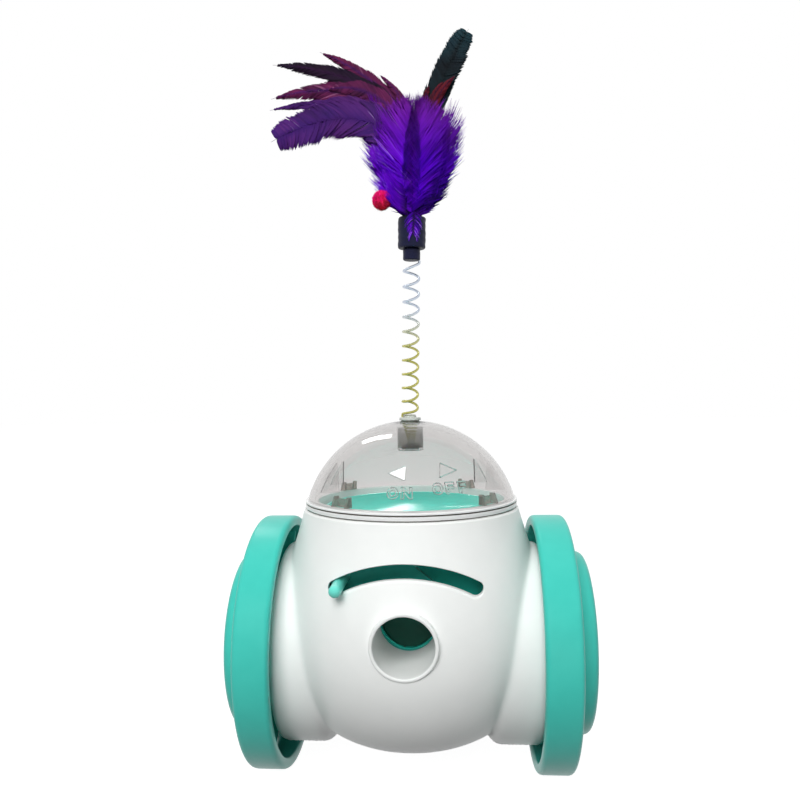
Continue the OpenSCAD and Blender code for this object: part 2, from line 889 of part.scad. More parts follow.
module dome() {
    span = 4 * dome_r;
    color([0.86, 0.88, 0.88, 0.4])
        at_axle() {
            difference() {
                union() {
                    difference() {
                        translate([0, 0, dome_z])
                            sphere(dome_r);
                        translate([0, 0, dome_z])
                            sphere(dome_r - dome_t);
                        translate([-span / 2, -span / 2, lid_seat - span])
                            cube([span, span, span]);
                    }
                    intersection() {
                        translate([0, 0, socket_low])
                            cylinder(h = socket_len, r = socket_r);
                        translate([0, 0, dome_z])
                            sphere(dome_r - dome_t / 2);
                    }
                }
                translate([0, 0, socket_low - over])
                    cylinder(h = socket_len + 2 * over, r = plug_r + seat_gap);
            }
            ring(flange_r, skirt_in_r, lid_seat, lid_seat + band_h);
            ring(skirt_out_r, skirt_in_r, skirt_low, lid_seat + press_gap);
            for (i = [0:lug_count - 1]) {
                middle = lug_start + 360 * i / lug_count;
                ring_part(skirt_in_r + press_gap, lug_in_r, skirt_low, skirt_low + lug_t,
                    middle - lug_span / 2, lug_span);
                for (a = [-fin_at, fin_at])
                    dome_fin(middle + a, skirt_in_r - over, lid_seat, band_h + fin_h);
                dome_fin(middle + (i % 2 == 0 ? -1 : 1) * gusset_at, gusset_in_r, lid_seat + band_h + fin_h, dome_r);
            }
        }
}

module wand_plug() {
    color([0.45, 0.45, 0.46])
        at_axle() {
            translate([0, 0, plug_low])
                cylinder(h = dome_top + seat_gap + press_gap - plug_low, r = plug_r);
            translate([0, 0, dome_top + seat_gap])
                cylinder(h = plug_flange_t, r = plug_flange_r);
        }
    color([0.45, 0.45, 0.46])
        at_wand()
            translate([0, 0, -over])
                cylinder(h = spigot_len + over, r = spigot_top_r);
}

module wand_spring() {
    color(steel)
        at_wand()
            translate([0, 0, seat_gap])
                polyhedron(coil_points, tube_faces(coil_last + 1, wire_sides));
}

module spring_collar() {
    color(black)
        at_wand()
            translate([0, 0, collar_z + seat_gap])
                cylinder(h = collar_h - seat_gap, r = collar_r);
}

module feather_sleeve() {
    color(black)
        at_wand()
            translate([0, 0, sleeve_z])
                cylinder(h = sleeve_h, r = sleeve_r);
}

// The tuft's outer shape, grown by a margin
module tuft(margin) {
    foot_r = sleeve_r - 1;
    rotate([0, plume_lean, 0])
        rotate_extrude()
            polygon(concat(
                [[0, seat_gap - margin]],
                cubic([[foot_r + margin, seat_gap - margin], [1.5 * plume_r + margin, 0.3 * plume_len],
                    [1.1 * plume_r + margin, 0.75 * plume_len], [1.5 + margin, plume_len + margin]]),
                [[0, plume_len + margin]]));
}

module plume() {
    color([0.35, 0.1, 0.65])
        at_feathers()
            translate([0, 0, plume_lift])
                tuft(0);
}

// A long feather, cut where it leaves the tuft
module vane(v, tint) {
    color(tint)
        at_feathers()
            difference() {
                polyhedron(vane_points(v), tube_faces(vane_steps + 1, 4));
                translate([0, 0, plume_lift])
                    tuft(slide_gap);
            }
}

module hackle_low() { vane(vane_low, [0.25, 0.05, 0.35]); }
module hackle_mid() { vane(vane_mid, [0.35, 0.05, 0.3]); }
module hackle_high() { vane(vane_high, [0.3, 0.04, 0.25]); }
module hackle_top() { vane(vane_top, [0.2, 0.03, 0.2]); }
module hackle_back() { vane(vane_back, [0.12, 0.03, 0.15]); }
module green_feather() { vane(vane_green, [0.04, 0.1, 0.09]); }

module pompom() {
    color([0.9, 0.1, 0.3])
        at_feathers()
            difference() {
                translate(pompom_at)
                    sphere(pompom_r);
                translate([0, 0, plume_lift])
                    tuft(slide_gap);
            }
}

front_shell();
rear_shell();
shell_screws();
counterweight();
axle();
axle_spacers();
axle_clips();
left_wheel();
left_hub_cap();
right_wheel();
right_hub_cap();
hopper();
gate();
gate_lever();
gate_pivot_screw();
gate_washer();
dome();
wand_plug();
wand_spring();
spring_collar();
feather_sleeve();
plume();
hackle_low();
hackle_mid();
hackle_high();
hackle_top();
hackle_back();
green_feather();
pompom();
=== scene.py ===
# Treat-dispensing toy car for a cat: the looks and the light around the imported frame.
# Lengths in the dictionaries are millimetres. Heights are from the axle, but the wand's are from the floor,
# from the spring's foot or from the sleeve's top, as the notes there say.
import bpy
import bmesh
import math
import numpy as np
from mathutils import Matrix


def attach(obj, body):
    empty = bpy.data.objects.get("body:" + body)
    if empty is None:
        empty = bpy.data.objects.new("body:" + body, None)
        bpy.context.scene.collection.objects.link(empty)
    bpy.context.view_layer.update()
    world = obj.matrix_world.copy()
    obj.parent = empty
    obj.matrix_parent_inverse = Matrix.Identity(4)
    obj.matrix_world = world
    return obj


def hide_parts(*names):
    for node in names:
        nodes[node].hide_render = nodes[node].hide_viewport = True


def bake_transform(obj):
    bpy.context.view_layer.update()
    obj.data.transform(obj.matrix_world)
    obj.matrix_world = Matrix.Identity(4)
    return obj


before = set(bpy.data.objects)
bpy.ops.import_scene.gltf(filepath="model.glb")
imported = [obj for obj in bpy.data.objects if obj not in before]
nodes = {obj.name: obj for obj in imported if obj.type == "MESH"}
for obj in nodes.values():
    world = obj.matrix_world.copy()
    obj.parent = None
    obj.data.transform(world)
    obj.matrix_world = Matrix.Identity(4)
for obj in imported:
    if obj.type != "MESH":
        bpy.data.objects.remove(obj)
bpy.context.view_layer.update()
chance = np.random.default_rng(11)  # seeded, so that each run makes the same feathers
mm = 0.001  # in metres
axleZ = 45.0  # the axle over the floor
print("frame loaded:", len(nodes), "nodes")


# Camera: the position and the three axes were fitted to the photograph
cameraPlan = {"at": (15.6, -263.97, 135.31), "right": (0.9973, 0.0720, -0.0143),
              "up": (0.0079, 0.0885, 0.9960), "lens": 33.39, "sensor": 36.0, "shiftY": 0.07,
              "clip": (0.005, 20.0)}


def placeCamera(plan):
    # back is square to right and up, and up is then made square to both; the three are the camera's axes
    right = np.array(plan["right"])
    right /= np.linalg.norm(right)
    back = np.cross(right, np.array(plan["up"]))
    back /= np.linalg.norm(back)
    up = np.cross(back, right)
    turn = np.eye(4)
    turn[:3, :3] = np.stack([right, up, back], axis=1)
    turn[:3, 3] = np.array(plan["at"]) * mm
    data = bpy.data.cameras.new("photoCamera")
    data.sensor_width = plan["sensor"]
    data.lens = plan["lens"]
    data.shift_y = plan["shiftY"]
    data.clip_start, data.clip_end = plan["clip"]
    camera = bpy.data.objects.new("photoCamera", data)
    camera.matrix_world = Matrix(turn.tolist())
    bpy.context.scene.collection.objects.link(camera)
    bpy.context.scene.camera = camera


placeCamera(cameraPlan)
print("camera placed")


# Colours and nodes
def hexLinear(code):
    # sRGB to linear: c / 12.92 when dark, otherwise ((c + 0.055) / 1.055) to the power 2.4
    c = np.array([int(code[i:i + 2], 16) for i in (1, 3, 5)]) / 255
    lin = np.where(c <= 0.04045, c / 12.92, ((c + 0.055) / 1.055) ** 2.4)
    return (float(lin[0]), float(lin[1]), float(lin[2]), 1.0)


def addNode(tree, kind, inputs=None, **settings):
    # one node with its settings; an input is a value, or a socket to link from
    node = tree.nodes.new(kind)
    for key, value in settings.items():
        setattr(node, key, value)
    for key, value in (inputs or {}).items():
        if isinstance(value, bpy.types.NodeSocket):
            tree.links.new(value, node.inputs[key])
        else:
            node.inputs[key].default_value = value
    return node


def openMaterial(name):
    material = bpy.data.materials.new(name)
    material.use_nodes = True
    tree = material.node_tree
    tree.nodes.clear()
    coord = addNode(tree, "ShaderNodeTexCoord")
    return material, tree, coord


def closeMaterial(tree, surface, volume=None):
    links = {"Surface": surface.outputs[0]}
    if volume is not None:
        links["Volume"] = volume.outputs[0]
    addNode(tree, "ShaderNodeOutputMaterial", links)


def mouldedPlastic(name, look):
    # injection-moulded skin: a cloudy tone a few mm wide, and the mould's spark-eroded grain in roughness and
    # relief; the real grain, about 0.05 mm, is too fine to show and is drawn at 0.25 to 0.5 mm
    material, tree, coord = openMaterial(name)
    cloud = addNode(tree, "ShaderNodeTexNoise", {"Vector": coord.outputs["Object"],
                    "Scale": 1 / (look["cloud"] * mm), "Detail": 3.0, "Roughness": 0.55})
    tone = addNode(tree, "ShaderNodeMix", {0: cloud.outputs["Fac"], 6: hexLinear(look["dark"]),
                   7: hexLinear(look["light"])}, data_type="RGBA")
    grain = addNode(tree, "ShaderNodeTexNoise", {"Vector": coord.outputs["Object"],
                    "Scale": 1 / (look["grain"] * mm), "Detail": 2.0, "Roughness": 0.6})
    satin = addNode(tree, "ShaderNodeMapRange", {"Value": grain.outputs["Fac"], "From Min": 0.3,
                    "From Max": 0.7, "To Min": look["rough"] - 0.05, "To Max": look["rough"] + 0.05})
    relief = addNode(tree, "ShaderNodeBump", {"Height": grain.outputs["Fac"],
                     "Strength": look["bump"], "Distance": 0.02 * mm})
    skin = addNode(tree, "ShaderNodeBsdfPrincipled", {"Base Color": tone.outputs[2],
                   "Roughness": satin.outputs[0], "Normal": relief.outputs[0], "IOR": 1.53,
                   "Specular IOR Level": look["gloss"]})
    closeMaterial(tree, skin)
    return material


def clearPlastic(name, look):
    # moulded clear plastic: sharp reflections with a faint flow wave, greyer where the way through it is
    # long; shadow rays pass a plain tinted pane, so that lamps shine through
    material, tree, coord = openMaterial(name)
    flow = addNode(tree, "ShaderNodeTexNoise", {"Vector": coord.outputs["Object"],
                   "Scale": 1 / (look["flow"] * mm), "Detail": 1.0})
    wave = addNode(tree, "ShaderNodeBump", {"Height": flow.outputs["Fac"], "Strength": 0.03,
                   "Distance": 0.05 * mm})
    glass = addNode(tree, "ShaderNodeBsdfPrincipled", {"Base Color": hexLinear(look["tint"]),
                    "Roughness": look["rough"], "IOR": look["ior"], "Transmission Weight": look["clear"],
                    "Normal": wave.outputs[0]})
    path = addNode(tree, "ShaderNodeLightPath")
    pane = addNode(tree, "ShaderNodeBsdfTransparent", {"Color": hexLinear(look["shade"])})
    pick = addNode(tree, "ShaderNodeMixShader", {0: path.outputs["Is Shadow Ray"], 1: glass.outputs[0],
                   2: pane.outputs[0]})
    smoke = addNode(tree, "ShaderNodeVolumeAbsorption", {"Color": hexLinear(look["smoke"]),
                    "Density": look["density"]})
    closeMaterial(tree, pick, smoke)
    return material


def drawnWire(name, look):
    # drawn wire: its tone changes with height, and the die marks break up the reflections; the real marks,
    # about 0.02 mm, are too fine to show and are drawn at 0.25 mm
    material, tree, coord = openMaterial(name)
    spot = addNode(tree, "ShaderNodeSeparateXYZ", {0: coord.outputs["Object"]})
    height = addNode(tree, "ShaderNodeMapRange", {"Value": spot.outputs["Z"],
                     "From Min": look["from"] * mm, "From Max": look["to"] * mm})
    tone = addNode(tree, "ShaderNodeMix", {0: height.outputs[0], 6: hexLinear(look["low"]),
                   7: hexLinear(look["high"])}, data_type="RGBA")
    lines = addNode(tree, "ShaderNodeTexNoise", {"Vector": coord.outputs["Object"],
                    "Scale": 1 / (look["lines"] * mm), "Detail": 2.0})
    relief = addNode(tree, "ShaderNodeBump", {"Height": lines.outputs["Fac"], "Strength": 0.1,
                     "Distance": 0.02 * mm})
    wire = addNode(tree, "ShaderNodeBsdfPrincipled", {"Base Color": tone.outputs[2], "Metallic": 1.0,
                   "Roughness": look["rough"], "Normal": relief.outputs[0]})
    closeMaterial(tree, wire)
    return material


def plainMetal(name, look):
    # turned or cast metal: two tones in flecks with matching relief; the real grit, about 0.1 mm, is too fine
    # to show and is drawn at 0.6 to 0.8 mm
    material, tree, coord = openMaterial(name)
    flecks = addNode(tree, "ShaderNodeTexNoise", {"Vector": coord.outputs["Object"],
                     "Scale": 1 / (look["fleck"] * mm), "Detail": 4.0})
    tone = addNode(tree, "ShaderNodeMix", {0: flecks.outputs["Fac"], 6: hexLinear(look["dark"]),
                   7: hexLinear(look["light"])}, data_type="RGBA")
    relief = addNode(tree, "ShaderNodeBump", {"Height": flecks.outputs["Fac"],
                     "Strength": look["bump"], "Distance": 0.1 * mm})
    metal = addNode(tree, "ShaderNodeBsdfPrincipled", {"Base Color": tone.outputs[2],
                    "Metallic": look["metal"], "Roughness": look["rough"],
                    "Normal": relief.outputs[0]})
    closeMaterial(tree, metal)
    return material


def featherBarbs(name, look):
    # dyed barbs: the texture's second value picks each barb's tone, the first darkens its root, the height on
    # the toy mixes in another tone, and a streaky fleck and a silky sheen come on top
    material, tree, coord = openMaterial(name)
    spot = addNode(tree, "ShaderNodeSeparateXYZ", {0: coord.outputs["UV"]})
    ramp = addNode(tree, "ShaderNodeValToRGB", {"Fac": spot.outputs["Y"]})
    ramp.color_ramp.elements[0].color = hexLinear(look["tones"][0])
    ramp.color_ramp.elements[1].color = hexLinear(look["tones"][-1])
    for place, tone in zip(np.linspace(0, 1, len(look["tones"]))[1:-1], look["tones"][1:-1]):
        ramp.color_ramp.elements.new(float(place)).color = hexLinear(tone)
    place = addNode(tree, "ShaderNodeSeparateXYZ", {0: coord.outputs["Object"]})
    climb = addNode(tree, "ShaderNodeMapRange", {"Value": place.outputs["Z"], "From Min": look["from"] * mm,
                    "From Max": look["to"] * mm, "To Max": look["rise"]})
    high = addNode(tree, "ShaderNodeMix", {0: climb.outputs[0], 6: ramp.outputs[0],
                   7: hexLinear(look["highTone"])}, data_type="RGBA")
    along = addNode(tree, "ShaderNodeMapRange", {"Value": spot.outputs["X"], "From Min": 0.0,
                    "From Max": look["rootShare"]})
    shade = addNode(tree, "ShaderNodeMix", {0: along.outputs[0], 6: hexLinear(look["root"]),
                    7: high.outputs[2]}, data_type="RGBA")
    streak = addNode(tree, "ShaderNodeTexNoise", {"Vector": coord.outputs["Object"],
                     "Scale": 1 / (look["streak"] * mm), "Detail": 2.0})
    mottle = addNode(tree, "ShaderNodeMapRange", {"Value": streak.outputs["Fac"], "From Min": 0.35,
                     "From Max": 0.75, "To Min": 0.0, "To Max": look["mottle"]})
    tone = addNode(tree, "ShaderNodeMix", {0: mottle.outputs[0], 6: shade.outputs[2],
                   7: hexLinear(look["fleck"])}, data_type="RGBA")
    barb = addNode(tree, "ShaderNodeBsdfPrincipled", {"Base Color": tone.outputs[2],
                   "Roughness": look["rough"], "Sheen Weight": look["sheen"],
                   "Sheen Tint": hexLinear(look["sheenTint"]), "Specular IOR Level": 0.12})
    closeMaterial(tree, barb)
    return material


# Finishes: a note says what each material gives the eye
# white ABS from a polished mould: broad soft highlights and hardly any grain
whiteAbs = mouldedPlastic("whiteAbsMoulded", {"dark": "#F0F3F1", "light": "#F8FAF8", "cloud": 9.0,
                          "grain": 0.45, "rough": 0.36, "bump": 0.10, "gloss": 0.45})
# teal ABS from a blasted mould: an even satin colour with a faint grain
tealAbs = mouldedPlastic("tealAbsMoulded", {"dark": "#3ABFB1", "light": "#44CABB", "cloud": 7.0,
                         "grain": 0.4, "rough": 0.34, "bump": 0.3, "gloss": 0.3})
# teal ABS from a polished mould, in the dish: a brighter colour with a wet-looking glint
polishedTeal = mouldedPlastic("tealAbsPolished", {"dark": "#2FC4B2", "light": "#3CD0BE", "cloud": 7.0,
                              "grain": 0.4, "rough": 0.12, "bump": 0.05, "gloss": 0.6})
# teal ABS painted dark, in the chute: painted shade that makes a deep hole behind the outlet
chuteShadeTeal = mouldedPlastic("tealAbsPaintedShade", {"dark": "#0A4A3C", "light": "#0E5646", "cloud": 7.0,
                             "grain": 0.4, "rough": 0.45, "bump": 0.2, "gloss": 0.25})
# pale teal ABS: the lever's nub stands out from the gate
paleTealAbs = mouldedPlastic("paleTealAbsMoulded", {"dark": "#62DACA", "light": "#70E4D4", "cloud": 4.0,
                             "grain": 0.4, "rough": 0.32, "bump": 0.2, "gloss": 0.5})
# grey polypropylene: a waxy, slightly uneven grey inside the socket
greyPlastic = mouldedPlastic("greyPolypropylene", {"dark": "#7A776E", "light": "#88857C", "cloud": 3.0,
                             "grain": 0.3, "rough": 0.4, "bump": 0.15, "gloss": 0.45})
# grey polypropylene painted pale, a painted highlight: the same waxy skin, nearly white on the thin disc over
# the dome, where light falls from above
flangeHighlightGrey = mouldedPlastic("greyPolypropylenePaintedHighlight", {"dark": "#C4C9C3", "light": "#D2D7D1", "cloud": 3.0,
                          "grain": 0.3, "rough": 0.4, "bump": 0.15, "gloss": 0.45})
# plain nylon: a creamy white, duller than the casing
nylon = mouldedPlastic("nylonWasher", {"dark": "#DDDCD2", "light": "#E8E7DE", "cloud": 3.0,
                       "grain": 0.3, "rough": 0.45, "bump": 0.1, "gloss": 0.4})
# black rubber: a dull skin with a bluish cast and a coarse grain
blackRubber = mouldedPlastic("blackRubberSleeve", {"dark": "#0C0E26", "light": "#171B3C", "cloud": 2.5,
                             "grain": 0.5, "rough": 0.5, "bump": 0.4, "gloss": 0.2})
# clear polystyrene: sharp reflections, and a smoky grey where one looks along the wall
clearLid = clearPlastic("clearPolystyrene", {"tint": "#F4F3F3", "rough": 0.02, "ior": 1.5, "clear": 1.0,
                        "flow": 30.0, "shade": "#FAFAFA", "smoke": "#B6B2AE", "density": 130.0})
# milky polystyrene: a pale band that lets little light through
milkyBand = clearPlastic("milkyPolystyrene", {"tint": "#FBFCFC", "rough": 0.06, "ior": 1.5, "clear": 0.15,
                         "flow": 20.0, "shade": "#D8D6D2", "smoke": "#C4C0BA", "density": 20.0})
# clear polystyrene tinted smoky as painted shade: small brackets that look brownish grey against the dish, as
# clear walls look dark through refraction
finShadeClear = clearPlastic("clearPolystyrenePaintedShade", {"tint": "#B4ABA0", "rough": 0.04, "ior": 1.5, "clear": 0.85,
                        "flow": 20.0, "shade": "#C8C6C2", "smoke": "#8A857E", "density": 160.0})
# white as a painted highlight: the raised pointer's face looks plain white, as a lamp's glint on it would
pointerHighlight = mouldedPlastic("paintedHighlightPolystyrene", {"dark": "#F4F5F5", "light": "#FFFFFF", "cloud": 2.0,
                             "grain": 0.25, "rough": 0.3, "bump": 0.1, "gloss": 0.6})
# painted shade in grey: two thin dull dark rings laid in the band's groove and at its seat, where the shadow
# falls
grooveShade = mouldedPlastic("paintedGrooveShade", {"dark": "#46423C", "light": "#5A554E", "cloud": 3.0,
                         "grain": 0.3, "rough": 0.6, "bump": 0.1, "gloss": 0.2})
# drawn spring steel: yellowed near the lid, bright and bluish higher up
springWire = drawnWire("drawnSpringSteel", {"low": "#B9B56A", "high": "#C3CBD8", "from": 150.0,
                       "to": 163.0, "lines": 0.25, "rough": 0.3})
# bright turned steel: clear light reflections with a fine break
brightSteel = plainMetal("brightSteel", {"dark": "#A9ADB2", "light": "#C4C8CC", "fleck": 0.6,
                         "bump": 0.1, "metal": 1.0, "rough": 0.3})
# cast iron: dark, dull and rough
castIron = plainMetal("castIron", {"dark": "#3C3E40", "light": "#55585B", "fleck": 0.8,
                      "bump": 0.5, "metal": 0.8, "rough": 0.6})
# down dyed violet: a strong colour with single pale barbs as painted highlights, dark at the roots and
# reddish at the top
violetDown = featherBarbs("violetDown", {
    "tones": ["#240068", "#4A00C0", "#7006E8", "#8A14FA", "#B07CFA"], "root": "#160030", "rootShare": 0.36,
    "streak": 7.0, "mottle": 0.4, "fleck": "#480C98", "from": 212.0, "to": 234.0, "rise": 0.85,
    "highTone": "#7E2890", "rough": 0.5, "sheen": 0.04, "sheenTint": "#B58CF0"})
# hackle dyed plum: brownish red with dark streaks
plumHackle = featherBarbs("plumHackle", {
    "tones": ["#26081F", "#46103A", "#5E1A4A", "#722456", "#8E5078"], "root": "#4A1860", "rootShare": 0.3,
    "streak": 8.0, "mottle": 0.55, "fleck": "#2A0A30", "from": 238.0, "to": 256.0, "rise": 0.45,
    "highTone": "#5C0E28", "rough": 0.4, "sheen": 0.02, "sheenTint": "#C79AC8"})
# hackle dyed violet: bluish, with single pale barbs as painted highlight streaks
violetHackle = featherBarbs("violetHackle", {
    "tones": ["#24104C", "#3A1868", "#4C2072", "#5A287A", "#B49CD8"], "root": "#3A1468", "rootShare": 0.3,
    "streak": 8.0, "mottle": 0.45, "fleck": "#4A1A5A", "from": 228.0, "to": 236.0, "rise": 0.5,
    "highTone": "#481652", "rough": 0.4, "sheen": 0.03, "sheenTint": "#C9B2F0"})
# black hackle: nearly black with a purple cast
darkHackle = featherBarbs("darkHackle", {
    "tones": ["#07050C", "#0E0816", "#150A1E", "#1C0C28", "#4A3C64"], "root": "#2A0C34", "rootShare": 0.3,
    "streak": 8.0, "mottle": 0.5, "fleck": "#2E0C2E", "from": 238.0, "to": 256.0, "rise": 0.2,
    "highTone": "#12081A", "rough": 0.38, "sheen": 0.02, "sheenTint": "#A890C0"})
# hackle dyed crimson: a dark red edge beside the tuft
crimsonHackle = featherBarbs("crimsonHackle", {
    "tones": ["#240510", "#3C0A18", "#541220", "#6A1C26", "#84404A"], "root": "#2E0A2C", "rootShare": 0.3,
    "streak": 6.0, "mottle": 0.5, "fleck": "#340A24", "from": 232.0, "to": 244.0, "rise": 0.4,
    "highTone": "#6A1822", "rough": 0.4, "sheen": 0.02, "sheenTint": "#D8A0A8"})
# natural coque feather: black with a green gloss towards its tip
greenSheen = featherBarbs("greenBlackCoque", {
    "tones": ["#04060A", "#070B12", "#0A121A", "#0E1C24", "#20404A"], "root": "#080C12", "rootShare": 0.3,
    "streak": 9.0, "mottle": 0.5, "fleck": "#183A40", "from": 246.0, "to": 258.0, "rise": 0.6,
    "highTone": "#1A3C48", "rough": 0.3, "sheen": 0.02, "sheenTint": "#8FD0C8"})
# brushed acrylic yarn: a fuzzy ball, orange-red below and pink above
redYarn = featherBarbs("redYarn", {
    "tones": ["#FF2A10", "#FF2E1C", "#FF2A38", "#FF2A50"], "root": "#E01030", "rootShare": 0.4,
    "streak": 2.5, "mottle": 0.2, "fleck": "#FF3C14", "from": 196.0, "to": 200.0, "rise": 0.95,
    "highTone": "#FF1EA8", "rough": 0.6, "sheen": 0.4, "sheenTint": "#FF9FB4"})
print("materials made:", len(bpy.data.materials))


# Mesh helpers
def gridFaces(rows, cols, closeRows=False, closeCols=False):
    # quads between neighbours on a rows by cols grid
    r = np.arange(rows if closeRows else rows - 1)
    c = np.arange(cols if closeCols else cols - 1)
    a, b = np.meshgrid(r, c, indexing="ij")
    an = (a + 1) % rows
    bn = (b + 1) % cols
    quads = np.stack([a * cols + b, a * cols + bn, an * cols + bn, an * cols + b], axis=-1)
    return quads.reshape(-1, 4)


def cappedFaces(rows, cols):
    # a tube of rows rings with both ends closed
    ends = [np.arange(cols)[None], np.arange((rows - 1) * cols, rows * cols)[None]]
    return [gridFaces(rows, cols, closeCols=True)] + ends


def fullTurn(count):
    # angles once round, without the last, which is the first again
    return np.linspace(0, 2 * np.pi, count, endpoint=False)


def joinParts(parts):
    # several (points, faces) pairs as one
    points = np.concatenate([p for p, f in parts])
    starts = np.cumsum([0] + [len(p) for p, f in parts[:-1]])
    faces = [f + s for (p, f), s in zip(parts, starts)]
    return points, faces


def fillMesh(name, points, faces):
    # points in millimetres and one or more arrays of faces
    mesh = bpy.data.meshes.new(name)
    groups = faces if isinstance(faces, list) else [faces]
    mesh.from_pydata(points * mm, [], [q for g in groups for q in g.tolist()])
    return mesh


def closeMesh(mesh, weld=0.002):
    # merges seams and poles, then turns every closed surface outwards
    work = bmesh.new()
    work.from_mesh(mesh)
    bmesh.ops.remove_doubles(work, verts=work.verts, dist=weld * mm)
    bmesh.ops.dissolve_degenerate(work, edges=work.edges, dist=0.0005 * mm)
    bmesh.ops.recalc_face_normals(work, faces=work.faces)
    work.to_mesh(mesh)
    work.free()


def closedMesh(name, shape):
    # a closed shape, given as its points and faces, as a mesh
    mesh = fillMesh(name, *shape)
    closeMesh(mesh)
    return mesh


def smoothMesh(mesh, angle):
    # smooth shading, with edges sharper than the angle kept crisp
    mesh.polygons.foreach_set("use_smooth", np.ones(len(mesh.polygons), bool))
    mesh.set_sharp_from_angle(angle=math.radians(angle))
    mesh.update()


def addPiece(name, mesh, material, body, stands=()):
    # an object at the origin with one material, its body and the nodes it stands for
    piece = bpy.data.objects.new(name, mesh)
    mesh.materials.clear()
    mesh.materials.append(material)
    bpy.context.scene.collection.objects.link(piece)
    if body:
        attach(piece, body)
    if stands:
        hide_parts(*stands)
    return piece


def addSolid(name, shape, material, body, stands=(), angle=40):
    # a closed shape as a finished piece
    mesh = closedMesh(name, shape)
    smoothMesh(mesh, angle)
    return addPiece(name, mesh, material, body, stands)


def finishCarved(piece, material, body, stands):
    # carving gives a piece a new mesh, so its shading, material and body come last
    smoothMesh(piece.data, 40)
    piece.data.materials.clear()
    piece.data.materials.append(material)
    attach(piece, body)
    if stands:
        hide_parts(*stands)


def joinMesh(piece, extra):
    # adds a second mesh to a piece's own and drops it
    work = bmesh.new()
    work.from_mesh(piece.data)
    work.from_mesh(extra)
    work.to_mesh(piece.data)
    work.free()
    bpy.data.meshes.remove(extra)


def turned(profile, steps, axis="z", centre=(0, 0, 0)):
    # a closed loop of (radius, distance) points carried round an axis
    loop = np.asarray(profile, float)
    r, d = np.meshgrid(loop[:, 0], fullTurn(steps), indexing="ij")
    h = np.repeat(loop[:, 1][:, None], steps, axis=1)
    ca, sa = r * np.cos(d), r * np.sin(d)
    spots = {"z": (ca, sa, h), "x": (h, ca, sa), "y": (sa, h, ca)}[axis]
    points = np.stack(spots, axis=-1).reshape(-1, 3) + np.array(centre)
    return points, gridFaces(len(loop), steps, closeRows=True, closeCols=True)


def arcPoints(centre, radius, start, stop, count):
    # points on a circle between two angles in degrees
    a = np.radians(np.linspace(start, stop, count))
    return np.stack([centre[0] + radius * np.cos(a), centre[1] + radius * np.sin(a)], axis=1)


def roundedLoop(corners, radii, steps=5):
    # each corner of a closed outline becomes a quadratic curve between points set back along its sides
    p = np.asarray(corners, float)
    back = np.roll(p, 1, axis=0) - p
    ahead = np.roll(p, -1, axis=0) - p
    r = np.asarray(radii, float)[:, None]
    a = p + back / np.linalg.norm(back, axis=1, keepdims=True) * r
    b = p + ahead / np.linalg.norm(ahead, axis=1, keepdims=True) * r
    t = np.linspace(0, 1, steps)[None, :, None]
    curve = (1 - t) ** 2 * a[:, None] + 2 * t * (1 - t) * p[:, None] + t ** 2 * b[:, None]
    return curve.reshape(-1, 2)


def tubeAlong(path, radius, sides, closed=False):
    # a round section carried along a path, its sides square to the heading and to a steady direction that no
    # path here follows
    path = np.asarray(path, float)
    if closed:
        heading = np.roll(path, -1, axis=0) - np.roll(path, 1, axis=0)
    else:
        heading = np.gradient(path, axis=0)
    heading /= np.linalg.norm(heading, axis=1, keepdims=True)
    steady = np.array([0.31, 0.83, 0.46])
    side = np.cross(heading, steady)
    side /= np.linalg.norm(side, axis=1, keepdims=True)
    other = np.cross(heading, side)
    a = fullTurn(sides)
    width = np.broadcast_to(np.asarray(radius, float), (len(path),))[:, None, None]
    ring = np.cos(a)[None, :, None] * side[:, None] + np.sin(a)[None, :, None] * other[:, None]
    points = (path[:, None] + width * ring).reshape(-1, 3)
    return points, gridFaces(len(path), sides, closeRows=closed, closeCols=True)


def carve(piece, cutters):
    # cuts closed shapes out of a piece and keeps the result as its mesh
    made = []
    for shape in cutters:
        tool = bpy.data.objects.new("cutter", closedMesh("cutter", shape))
        bpy.context.scene.collection.objects.link(tool)
        cut = piece.modifiers.new("cut", "BOOLEAN")
        cut.operation = "DIFFERENCE"
        cut.solver = "EXACT"
        cut.object = tool
        made.append(tool)
    bpy.context.view_layer.update()
    graph = bpy.context.evaluated_depsgraph_get()
    result = bpy.data.meshes.new_from_object(piece.evaluated_get(graph), depsgraph=graph)
    piece.modifiers.clear()
    piece.data = result
    for tool in made:
        bpy.data.objects.remove(tool)


# Casing: the pot's outline is two cubic curves, the drums are rounded cylinders along the axle
casing = {"belly": (48.5, 6.0), "neck": (37.9, 49.5), "base": (16.0, -32.5), "wall": 2.2,
          "bellyPull": (0.345, 0.58), "neckPull": (0.094, -0.36), "drumTaper": 6.0, "halvings": 40,
          "drum": 35.3, "drumEnd": 45.2, "drumIn": 25.5, "drumInRound": 6.0, "drumEndRound": 1.8,
          "crease": 1.0, "rimRound": 0.7, "columns": 241, "lowRows": 91, "highRows": 71,
          "outlet": (9.5, 13.5), "outletWall": 1.2, "outletGap": 0.6, "outletRound": 0.2,
          "rimFront": 48.9, "tunnelEnd": 23.8, "rimGap": 0.15,
          "slotRadius": 43.0, "slotPivot": -8.0, "slotHalf": 31.0, "slotWidth": 4.4, "slotRound": 0.6,
          "cutAhead": 4.0, "cutDepth": 12.0, "farOut": 75.0, "farDown": 45.0}


def cubicCurve(p0, p1, p2, p3, count):
    # a curve from the first point to the last, drawn towards the two between
    t = np.linspace(0, 1, count)[:, None]
    u = 1 - t
    return (u ** 3 * np.array(p0) + 3 * u * u * t * np.array(p1)
            + 3 * u * t * t * np.array(p2) + t ** 3 * np.array(p3))


